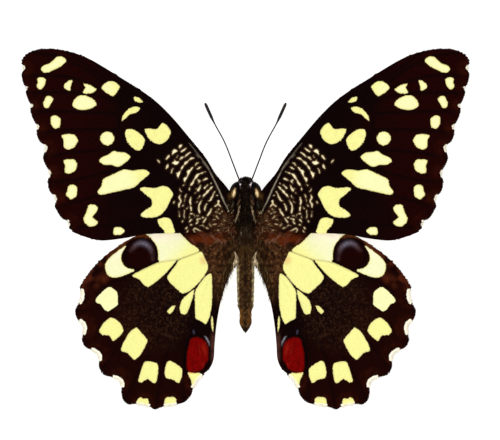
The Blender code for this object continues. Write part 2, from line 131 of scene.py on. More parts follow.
HINDWING_VEINS = {
    "subcosta": [(1.6, -0.3), (8.0, 0.7), (14.0, 0.3), (20.0, -1.6), (26.0, -4.9), (30.0, -8.5),
                 (32.9, -12.0)],
    "cell_front": [(1.6, -1.2), (5.0, -2.8), (9.0, -4.4), (13.4, -6.05)],
    "cell_end": [(13.4, -6.05), (15.85, -9.3), (14.7, -11.3), (13.0, -13.1)],
    "cell_rear": [(1.6, -2.1), (4.6, -5.4), (7.2, -8.8), (10.2, -11.9), (13.0, -13.1)],
    "radius": [(13.4, -6.05), (17.1, -6.6), (23.0, -9.2), (27.3, -10.9), (31.0, -13.6), (33.9, -16.4)],
    "media_1": [(15.85, -9.3), (20.0, -12.2), (25.0, -16.4), (29.0, -19.3), (32.6, -22.2)],
    "media_2": [(14.7, -11.3), (19.0, -16.1), (24.0, -21.7), (29.0, -27.9)],
    "media_3": [(13.0, -13.1), (15.6, -18.0), (19.6, -25.4), (22.2, -30.0), (24.4, -34.2)],
    "cubitus_1": [(10.2, -11.9), (12.8, -18.2), (16.2, -26.0), (17.2, -31.0), (18.1, -35.8)],
    "cubitus_2": [(7.2, -8.8), (10.0, -17.2), (12.1, -25.0), (12.4, -30.0), (12.6, -34.6)],
    "anal": [(1.9, -2.9), (3.6, -6.6), (5.7, -12.0), (6.8, -19.0), (7.1, -24.5), (8.2, -28.8)],
}

# The pale patches, each a closed curve through a few points measured off the wing.
FOREWING_PATCHES = {
    "apical": [(35.8, 33.7), (36.6, 34.55), (37.7, 34.5), (38.4, 33.8), (39.4, 33.1), (40.4, 32.75),
               (40.9, 32.0), (40.3, 31.35), (39.3, 31.4), (38.2, 32.0), (37.0, 32.5)],
    "subapical_1": [(25.1, 28.6), (26.4, 29.6), (27.4, 29.6), (28.5, 28.9), (28.75, 28.2), (27.8, 27.3),
                    (26.5, 26.65), (25.8, 27.4)],
    "subapical_2": [(29.85, 28.0), (30.9, 28.8), (32.4, 29.2), (32.05, 28.4), (32.5, 27.3), (31.4, 27.15),
                    (30.4, 27.4)],
    "subapical_3": [(34.55, 29.8), (35.2, 29.8), (36.2, 29.0), (36.3, 28.4), (35.7, 27.9), (35.05, 27.75),
                    (34.95, 28.6)],
    "subapical_4": [(29.75, 25.0), (30.5, 26.1), (32.0, 26.75), (33.3, 26.75), (34.3, 25.8), (34.6, 24.7),
                    (33.5, 24.0), (32.4, 23.9), (30.9, 24.2)],
    "marginal_1": [(39.95, 30.1), (40.9, 30.45), (41.6, 30.1), (41.5, 29.4), (41.75, 28.6), (41.1, 27.95),
                   (40.4, 28.4), (40.0, 29.3)],
    "marginal_2": [(38.4, 26.1), (39.1, 26.7), (39.9, 26.5), (40.4, 25.1), (40.1, 24.3), (39.3, 24.4),
                   (38.8, 25.3)],
    "marginal_3": [(37.0, 22.2), (38.0, 22.85), (38.8, 22.5), (38.9, 21.2), (38.2, 20.15), (37.2, 20.4),
                   (37.0, 21.3)],
    "marginal_4": [(33.5, 17.8), (34.2, 18.95), (35.5, 19.1), (36.75, 18.8), (36.4, 17.9), (36.25, 16.4),
                   (35.4, 16.0), (34.2, 16.5)],
    "marginal_5": [(33.65, 13.0), (34.2, 13.95), (35.3, 14.05), (36.35, 13.8), (36.05, 12.6), (36.1, 11.4),
                   (35.2, 11.2), (34.1, 11.7)],
    "marginal_6": [(33.65, 8.4), (34.5, 9.0), (35.4, 8.7), (35.6, 7.7), (35.9, 7.0), (34.9, 6.05),
                   (33.8, 6.7)],
    "marginal_7": [(29.5, 4.3), (30.2, 5.0), (31.4, 4.85), (31.65, 3.8), (32.35, 2.3), (32.1, 1.3),
                   (31.2, 0.6), (30.1, 0.75), (29.5, 1.5), (30.6, 2.45), (29.9, 3.4)],
    "trailing": [(24.1, -0.3), (25.0, 0.45), (26.2, 0.4), (26.45, -0.4), (26.2, -1.05), (25.0, -1.05)],
    "disc_1": [(26.2, 18.2), (26.7, 19.3), (27.65, 19.6), (28.65, 19.2), (29.1, 18.2), (28.6, 17.2),
               (27.65, 16.8), (26.7, 17.2)],
    "disc_2": [(23.0, 14.5), (24.0, 15.35), (25.4, 15.5), (26.4, 15.7), (27.4, 15.0), (28.8, 14.4),
               (29.25, 13.6), (28.2, 12.95), (26.9, 12.95), (25.4, 12.55), (24.0, 13.4)],
    "disc_3": [(19.2, 11.2), (20.2, 12.0), (22.5, 11.8), (24.3, 12.0), (26.2, 11.15), (28.4, 10.1),
               (28.8, 8.7), (29.6, 7.5), (28.9, 6.95), (26.8, 7.35), (24.2, 7.95), (22.2, 8.5),
               (20.8, 9.8)],
    "disc_4": [(14.5, 7.1), (15.3, 8.3), (16.6, 8.7), (18.2, 8.3), (20.4, 8.45), (21.1, 8.1), (20.1, 7.1),
               (18.8, 6.0), (18.8, 4.7), (20.3, 3.7), (21.0, 2.9), (20.2, 2.4), (18.4, 2.4), (17.0, 2.9),
               (15.8, 4.3), (15.1, 5.7)],
    "disc_5": [(14.2, -0.8), (14.4, 0.5), (15.0, 2.0), (16.0, 2.4), (17.5, 2.0), (17.3, 0.9), (16.2, -0.3),
               (16.2, -0.8)],
    "cell_bar": [(14.95, 19.5), (15.7, 20.8), (16.6, 21.3), (17.3, 20.6), (17.8, 20.05), (20.1, 20.1),
                 (19.5, 18.4), (18.2, 17.3), (16.9, 17.1), (15.6, 18.0)],
    "cell_spot": [(20.15, 18.0), (21.0, 19.1), (22.5, 20.0), (23.7, 20.05), (24.1, 19.3), (23.6, 17.5),
                  (22.3, 16.1), (21.1, 15.8), (20.5, 16.6)],
    "cell_end": [(21.0, 24.3), (22.0, 24.6), (23.3, 24.15), (24.4, 23.0), (24.8, 21.7), (24.1, 22.1),
                 (23.2, 23.0), (21.8, 23.45)],
    "costal": [(20.4, 25.5), (21.4, 26.4), (22.35, 26.55), (22.15, 25.7), (21.3, 25.4)],
}
HINDWING_PATCHES = {
    "band_1": [(13.4, -0.4), (14.0, 0.6), (16.5, 0.8), (20.2, -0.6), (19.2, -1.5), (18.1, -2.9),
               (17.55, -4.3), (17.4, -6.35), (16.3, -6.5), (13.7, -6.15), (11.5, -5.35), (9.4, -4.5),
               (9.6, -3.75), (11.1, -2.75), (12.2, -1.7)],
    "band_2": [(13.8, -6.1), (15.0, -6.3), (17.3, -6.55), (19.6, -7.5), (22.7, -9.2), (21.3, -10.0),
               (20.4, -11.1), (19.5, -11.5), (18.2, -10.7), (16.5, -9.25), (14.95, -7.6)],
    "cell": [(8.9, -4.4), (10.5, -4.95), (13.15, -6.0), (14.25, -7.5), (15.65, -9.35), (15.3, -10.5),
             (13.6, -12.1), (12.6, -12.85), (11.2, -12.3), (9.6, -10.9), (8.0, -8.85), (7.5, -7.4),
             (8.2, -5.7)],
    "rear_1": [(6.9, -8.9), (8.0, -9.4), (9.4, -11.1), (10.1, -12.6), (10.15, -15.2), (10.0, -17.8),
               (8.9, -18.4), (8.0, -19.0), (7.2, -17.5), (6.75, -14.8), (6.7, -11.5)],
    "rear_2": [(10.3, -12.1), (11.6, -13.0), (12.7, -14.1), (13.2, -15.7), (12.9, -16.9), (11.9, -16.95),
               (11.2, -15.5), (10.6, -13.6)],
    "rear_3": [(14.1, -15.3), (14.9, -15.5), (15.7, -16.4), (15.2, -16.95), (14.6, -16.4)],
    "rear_4": [(6.7, -17.3), (6.95, -18.3), (6.8, -19.6), (6.5, -20.7), (6.45, -19.5), (6.5, -18.2)],
    "ring_outer": [(23.9, -3.2), (25.5, -4.25), (27.2, -5.6), (28.15, -7.1), (27.8, -8.9), (26.5, -9.65),
                   (24.7, -9.35), (22.2, -8.2), (23.9, -7.6), (24.8, -6.5), (24.85, -5.0)],
    "submarginal_1": [(27.2, -11.5), (28.4, -12.2), (29.9, -13.8), (30.0, -14.5), (28.9, -15.1),
                      (28.4, -15.9), (27.6, -16.4), (26.7, -15.9), (25.65, -15.1), (25.6, -13.7),
                      (25.8, -12.5)],
    "submarginal_2": [(27.1, -17.7), (28.4, -18.7), (29.3, -20.3), (28.6, -21.15), (27.3, -21.25),
                      (26.6, -22.3), (25.6, -21.7), (24.5, -20.4), (24.9, -19.1), (26.0, -18.0)],
    "submarginal_3": [(21.9, -19.6), (23.2, -20.6), (24.2, -22.2), (25.0, -24.2), (23.7, -24.75),
                      (22.3, -26.1), (21.2, -25.3), (20.2, -23.6), (19.7, -22.2), (20.9, -20.7)],
    "submarginal_4": [(17.7, -26.9), (19.0, -26.5), (20.2, -26.55), (21.0, -28.4), (21.5, -30.4),
                      (20.9, -30.65), (19.6, -30.0), (18.3, -30.9), (17.75, -30.0), (17.5, -28.2)],
    "submarginal_5": [(15.2, -26.3), (15.9, -27.0), (16.2, -28.8), (15.9, -29.8), (14.6, -30.1),
                      (13.4, -30.8), (12.7, -29.2), (12.8, -27.9), (13.9, -27.0)],
    "lunule_5": [(19.4, -34.4), (19.7, -33.85), (20.4, -33.95), (21.1, -33.65), (21.6, -34.0),
                 (21.85, -34.8), (20.6, -35.0), (19.5, -35.2)],
    "lunule_6": [(13.9, -34.1), (14.25, -33.65), (15.2, -33.6), (16.0, -33.8), (16.3, -34.9), (15.2, -35.1),
                 (14.0, -34.8)],
    "lunule_7": [(9.0, -28.8), (10.2, -28.8), (11.6, -28.7), (10.95, -30.2), (10.6, -31.6), (9.9, -30.4)],
}
RED_SPOT = [(8.6, -22.0), (10.0, -21.6), (11.1, -22.1), (11.7, -24.4), (11.85, -26.4), (11.6, -28.4),
            (10.0, -28.6), (8.6, -28.0), (7.5, -26.0), (7.4, -24.4), (7.8, -22.8)]
EYESPOT_CENTRE = (21.1, -4.75)
EYESPOT_RADIUS = 3.65
EYESPOT_LUNULE = [(18.6, -6.1), (18.75, -4.5), (19.55, -3.25), (20.9, -2.7), (22.1, -3.1), (23.0, -4.2)]

# Notches of the outer margins, where the fringe is cream: the middle of each and half its length.
FOREWING_NOTCHES = [(43.9, 32.3, 0.75), (43.4, 28.4, 0.45), (42.3, 24.8, 0.6), (41.1, 20.6, 0.7),
                    (39.6, 16.3, 1.0), (38.8, 11.2, 0.9), (37.8, 6.4, 0.9), (35.1, 1.5, 0.8)]
HINDWING_NOTCHES = [(32.6, -13.4, 1.6), (32.3, -19.4, 1.7), (29.7, -24.9, 1.6), (25.2, -30.2, 1.6),
                    (20.5, -34.9, 1.4), (15.1, -35.0, 1.3), (9.9, -30.3, 1.7)]
# How far the cream of the hindwing's notches reaches in from the margin.
NOTCH_CREAM = 0.32


def linear(hex_colour):
    """A linear colour from an sRGB hex value."""
    parts = [int(hex_colour[i:i + 2], 16) / 255 for i in (0, 2, 4)]
    return np.array([c / 12.92 if c <= 0.04045 else ((c + 0.055) / 1.055) ** 2.4 for c in parts])


def curve(points, step, closed=False, roundness=1.0):
    """A smooth curve through the points, sampled about every step; less roundness keeps its corners."""
    p = np.asarray(points, float)
    if closed:
        ends = np.vstack([p[-1], p, p[0], p[1]])
    else:
        ends = np.vstack([2 * p[0] - p[1], p, 2 * p[-1] - p[-2]])
    out = [] if closed else [p[:1]]
    for a, b, c, d in zip(ends, ends[1:], ends[2:], ends[3:]):
        count = max(1, round(float(np.linalg.norm(c - b)) / step))
        t = (np.arange(1, count + 1) / count)[:, None]
        smooth = t * t * (3 - 2 * t)
        leave, arrive = (c - a) * 0.5 * roundness, (d - b) * 0.5 * roundness
        out.append(b + (c - b) * smooth + leave * t * (1 - t) ** 2 - arrive * t * t * (1 - t))
    return np.vstack(out)


def gap(points, line, closed=False):
    """The distance from each point to a polyline."""
    line = np.vstack([line, line[:1]]) if closed else line
    best = np.full(len(points), 1e9)
    for a, b in zip(line, line[1:]):
        span = b - a
        t = np.clip(((points - a) @ span) / max(float(span @ span), 1e-12), 0, 1)
        best = np.minimum(best, np.hypot(*(points - a - t[:, None] * span).T))
    return best


def far(points, place, squash=1.0):
    """The distance of each point from a place, its part along the body times a factor."""
    return np.hypot(points[:, 0] - place[0], (points[:, 1] - place[1]) * squash)


def unit(rows):
    """Directions brought to a length of one."""
    return rows / np.linalg.norm(rows, axis=1)[:, None]


def crosswise(rows):
    """Flat directions turned a quarter to the left."""
    return np.column_stack([-rows[:, 1], rows[:, 0]])


def inside(points, outline):
    """Whether each point lies inside a closed outline."""
    x, y = points.T
    found = np.zeros(len(points), bool)
    for (x0, y0), (x1, y1) in zip(outline, np.roll(outline, -1, axis=0)):
        if y0 != y1:
            found ^= ((y0 > y) != (y1 > y)) & (x < (x1 - x0) * (y - y0) / (y1 - y0) + x0)
    return found


def depth(points, outlines, reach=1.2):
    """How deep each point lies inside the nearest outline, negative outside, never under minus the reach."""
    best = np.full(len(points), -reach)
    for outline in outlines:
        near = np.all((points > outline.min(0) - reach) & (points < outline.max(0) + reach), axis=1)
        if near.any():
            some = points[near]
            away = gap(some, outline, closed=True)
            best[near] = np.maximum(best[near], np.where(inside(some, outline), away, -away))
    return best


def mottle(points, size, seed):
    """Smooth random values from -1 to 1, in patches of about this size."""
    table = np.random.default_rng(seed).uniform(-1, 1, (128, 128))
    at = np.asarray(points)[:, :2] @ np.array([(0.8, 0.6), (-0.6, 0.8)]) / size + 640.0
    low = np.floor(at).astype(int)
    f = at - low
    f = f * f * (3 - 2 * f)
    i, j = low.T % 128
    i1, j1 = (i + 1) % 128, (j + 1) % 128
    front = table[i, j] * (1 - f[:, 0]) + table[i1, j] * f[:, 0]
    back = table[i, j1] * (1 - f[:, 0]) + table[i1, j1] * f[:, 0]
    return front * (1 - f[:, 1]) + back * f[:, 1]


def grain(points, along, size, seed, stretch=0.3):
    """Smooth random values from -1 to 1, in patches drawn out along a direction."""
    c, s = along
    return mottle(points[:, :2] @ np.array([(s, c), (-c, s)]) * (1.0, stretch), size, seed)


def ease(value, low, high):
    """0 below low, 1 above high and smooth between."""
    t = np.clip((value - low) / (high - low), 0, 1)
    return t * t * (3 - 2 * t)


def blend(base, colour, amount):
    """A colour, or rows of colour, moved towards another by an amount for each row."""
    return base + (colour - base) * np.asarray(amount)[:, None]


# Building meshes. A part is its vertices, faces, values at each vertex and bake map, which may be None.
def add(tree, kind, inputs=(), **settings):
    """A node with its settings, and each named input linked from a socket or set to a value."""
    node = tree.nodes.new(kind)
    for name, value in settings.items():
        setattr(node, name, value)
    for name, value in dict(inputs).items():
        if isinstance(value, bpy.types.NodeSocket):
            tree.links.new(value, node.inputs[name])
        else:
            node.inputs[name].default_value = value
    return node


def mirror(verts, faces, side):
    """A right-hand shape, or its mirror image with the faces turned the right way round."""
    return (verts, faces) if side > 0 else (verts * (-1.0, 1.0, 1.0), faces[:, ::-1])


def piece(name, part, material, replaces=(), side=1, smooth=True):
    """A part as a triangle mesh in the frame, on the right (1) or left (-1), riding on the one body."""
    verts, faces, values, uv = part
    verts, faces = mirror(verts, faces, side)
    faces = np.asarray(faces, np.int32)
    mesh = bpy.data.meshes.new(name)
    mesh.vertices.add(len(verts))
    mesh.vertices.foreach_set("co", (np.asarray(verts) * MM).astype(np.float32).ravel())
    mesh.loops.add(faces.size)
    mesh.loops.foreach_set("vertex_index", faces.ravel())
    mesh.polygons.add(len(faces))
    mesh.polygons.foreach_set("loop_start", np.arange(0, faces.size, 3, dtype=np.int32))
    mesh.update(calc_edges=True)
    for key, value in values.items():
        value = np.asarray(value, np.float32)
        if value.ndim == 2:
            layer = mesh.attributes.new(key, "FLOAT_COLOR", "POINT")
            layer.data.foreach_set("color", np.hstack([value, np.ones((len(value), 1), np.float32)]).ravel())
        else:
            mesh.attributes.new(key, "FLOAT", "POINT").data.foreach_set("value", value)
    if uv is not None:
        layer = mesh.uv_layers.new(name="OFBake")
        layer.data.foreach_set("uv", np.asarray(uv, np.float32)[faces.ravel()].ravel())
    mesh.polygons.foreach_set("use_smooth", np.full(len(faces), smooth))
    mesh.materials.append(material)
    thing = bpy.data.objects.new(name, mesh)
    bpy.context.scene.collection.objects.link(thing)
    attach(thing, "root")
    if replaces:
        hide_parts(*replaces)


def join(shapes):
    """Several (vertices, faces) as one, and which shape each vertex came from."""
    verts, faces, owner = [], [], []
    start = 0
    for i, (v, f) in enumerate(shapes):
        verts.append(v)
        faces.append(np.asarray(f) + start)
        owner.append(np.full(len(v), i))
        start += len(v)
    return np.vstack(verts), np.vstack(faces), np.concatenate(owner)


def tube(path, radii, sides=10):
    """A closed tube of rings along a path."""
    path = np.asarray(path, float)
    radii = np.broadcast_to(radii, len(path))
    ahead = unit(np.gradient(path, axis=0))
    up = np.cross(ahead[0], (0.0, 0.31, 0.95))
    rings = []
    for place, way, radius in zip(path, ahead, radii):
        up = up - way * (up @ way)
        up /= np.linalg.norm(up)
        side = np.cross(way, up)
        turn = 2 * math.pi * np.arange(sides)[:, None] / sides
        rings.append(place + radius * (np.cos(turn) * up + np.sin(turn) * side))
    verts = np.vstack(rings + [path[:1], path[-1:]])
    faces = []
    last = len(path) - 1
    for k in range(last):
        for i in range(sides):
            j = (i + 1) % sides
            a, b, c, d = k * sides + i, k * sides + j, (k + 1) * sides + j, (k + 1) * sides + i
            faces += [(a, b, c), (a, c, d)]
    for i in range(sides):
        j = (i + 1) % sides
        faces += [(len(verts) - 2, j, i), (len(verts) - 1, last * sides + i, last * sides + j)]
    return verts, np.array(faces)


# One wing scale, from its root: along, across and up, in shares of its length, width and 1 mm.
SCALE_SHAPE = np.array([
    (0.0, 0.0, -0.03), (0.35, 0.5, 0.0), (0.93, 0.34, 0.03), (1.0, -0.3, 0.03), (0.35, -0.5, 0.0),
    (0.62, 0.0, 0.055)])
SCALE_FACES = np.array([
    (0, 5, 1), (1, 5, 2), (2, 5, 3), (3, 5, 4), (4, 5, 0), (0, 1, 2), (0, 2, 3), (0, 3, 4)])
# One hair-like lock: three corners at the root, three half way and the tip.
LOCK_SHAPE = np.array([
    (0.0, 0.5, 0.0), (0.0, -0.5, 0.0), (0.0, 0.0, 0.5), (0.5, 0.42, 0.0), (0.5, -0.42, 0.0), (0.5, 0.0, 0.5),
    (1.0, 0.0, 0.1)])
LOCK_FACES = np.array([
    (0, 1, 2), (0, 3, 4), (0, 4, 1), (1, 4, 5), (1, 5, 2), (2, 5, 3), (2, 3, 0), (3, 6, 4), (4, 6, 5),
    (5, 6, 3)])
# A lock is this much thinner than it is wide.
LOCK_FLATNESS = 0.7
# The side of the patch that each scale or lock takes up on the bake map.
BAKE_PATCH = 0.003


def copies(shape, faces, count):
    """The faces of many copies of a shape, laid one after the other."""
    return (faces[None] + (np.arange(count) * len(shape))[:, None, None]).reshape(-1, 3)


def locks(places, normals, lies, lengths, width, lift, bend):
    """Tapered locks on a surface: each rises by lift, then bends back down along its lie."""
    across = np.cross(normals, lies)
    along, side, up = LOCK_SHAPE.T
    rise = np.reshape(lift, (-1, 1)) * along - bend * along * along
    verts = (places[:, None] + lies[:, None] * (along * lengths[:, None])[..., None]
             + across[:, None] * (side * width)[..., None]
             + normals[:, None] * (rise * lengths[:, None] + up * width * LOCK_FLATNESS)[..., None])
    return verts.reshape(-1, 3), copies(LOCK_SHAPE, LOCK_FACES, len(places))


def patch_uv(root_uv, shape):
    """Each copy's bake map: a small patch at its root's place on the unwrap."""
    local = (shape[:, :2] - (0.5, 0.0)) * BAKE_PATCH
    return (root_uv[:, None] + local[None]).reshape(-1, 2)


# Wings.
Wing = namedtuple("Wing", "outline margin lines drop paint notches hub")


def right_wing(edges, veins, *rest):
    """A wing with its outline, outer margin and veins drawn as curves, and the rest as given."""
    outline = np.vstack([curve(points, step)[:-1] for points, step in edges.values()])
    margin = curve(edges["margin"][0], FRINGE_STEP)
    return Wing(outline, margin, [curve(points, 0.5) for points in veins.values()], *rest)


def wing_middle(p):
    """Height of the forewing's middle surface before veins and pleats."""
    out = np.minimum(np.abs(p[:, 0]) / HALF_SPAN, 1.0)
    return WING_ROOT_Z + DIHEDRAL * np.abs(p[:, 0]) + CAMBER * 0.5 * np.sin(math.pi * out)


def wing_surface(wing, p, face):
    """Height of a wing's upper (1) or lower (-1) face, and how far each point lies from a vein."""
    away = np.min([gap(p, line) for line in wing.lines], axis=0)
    middle = wing_middle(p) - wing.drop - PLEAT * ease(away, *PLEAT_REACH)
    return middle + face * (MEMBRANE / 2 + VEIN_HEIGHT * np.exp(-(away / VEIN_WIDTH) ** 2)), away


def wing_uv(wing, p):
    """The wing seen from above, fitted to the bake map."""
    low, high = wing.outline.min(0), wing.outline.max(0)
    return 0.01 + 0.98 * (p - low) / (high - low)


# Colours as the eye sees them, a quarter darker than in the picture, whose light is a quarter brighter.
CREAM = linear("E6E5AC")
YELLOW_CREAM = linear("E4E290")
CREAM_EDGE = linear("DDD48A")
IVORY = linear("E4E4B8")
# Whiter top of the hindwing's front band: partly its own tone, partly painted light against the forewing's
# shadow.
BAND_WHITE_AND_PAINTED_LIGHT = linear("F0E6CE")
CORNER_TAN = linear("D8B070")
FRINGE_CREAM = linear("F6EFDA")
BLACK = linear("0A0202")
RED_BLACK = linear("190201")
WARM_BLACK = linear("170301")
MARGIN_RUST = linear("3A1204")
RED_BROWN = linear("40200F")
RUST = linear("541F08")
STRAND = linear("84604E")
TAN = linear("8A7050")
OLIVE = linear("8E8246")
DASH_BROWN = linear("94765A")
DASH_TAN = linear("D6C8A0")
DASH_CREAM = linear("F2E8C0")
DASH_EDGE = linear("6A5630")
DASH_SHADE = linear("3A2616")
FINE_LINES = linear("7E5C3A")
ROOT_BROWN = linear("3E2A0E")
VEIN_GREY = linear("928672")
FLANK_RUST = linear("4A1E0E")
DISC_BROWN = linear("3A2214")
BASE_BROWN = linear("38200F")
BASE_TAN = linear("5E4026")
EYESPOT_CORE = linear("170101")
SMOKE_BLUE = linear("5C5562")
SMOKE_ROSE = linear("5A3C3C")
CHESTNUT = linear("52290F")
RED = linear("6C0201")
BRIGHT_RED = linear("801A0C")
RED_SPOT_RIM = linear("CC7430")
INNER_MARGIN = linear("46281F")
FLECK_GREY = linear("7E7A82")
FLECK_BLUE = linear("3A3848")
FULVOUS = linear("D07A2C")

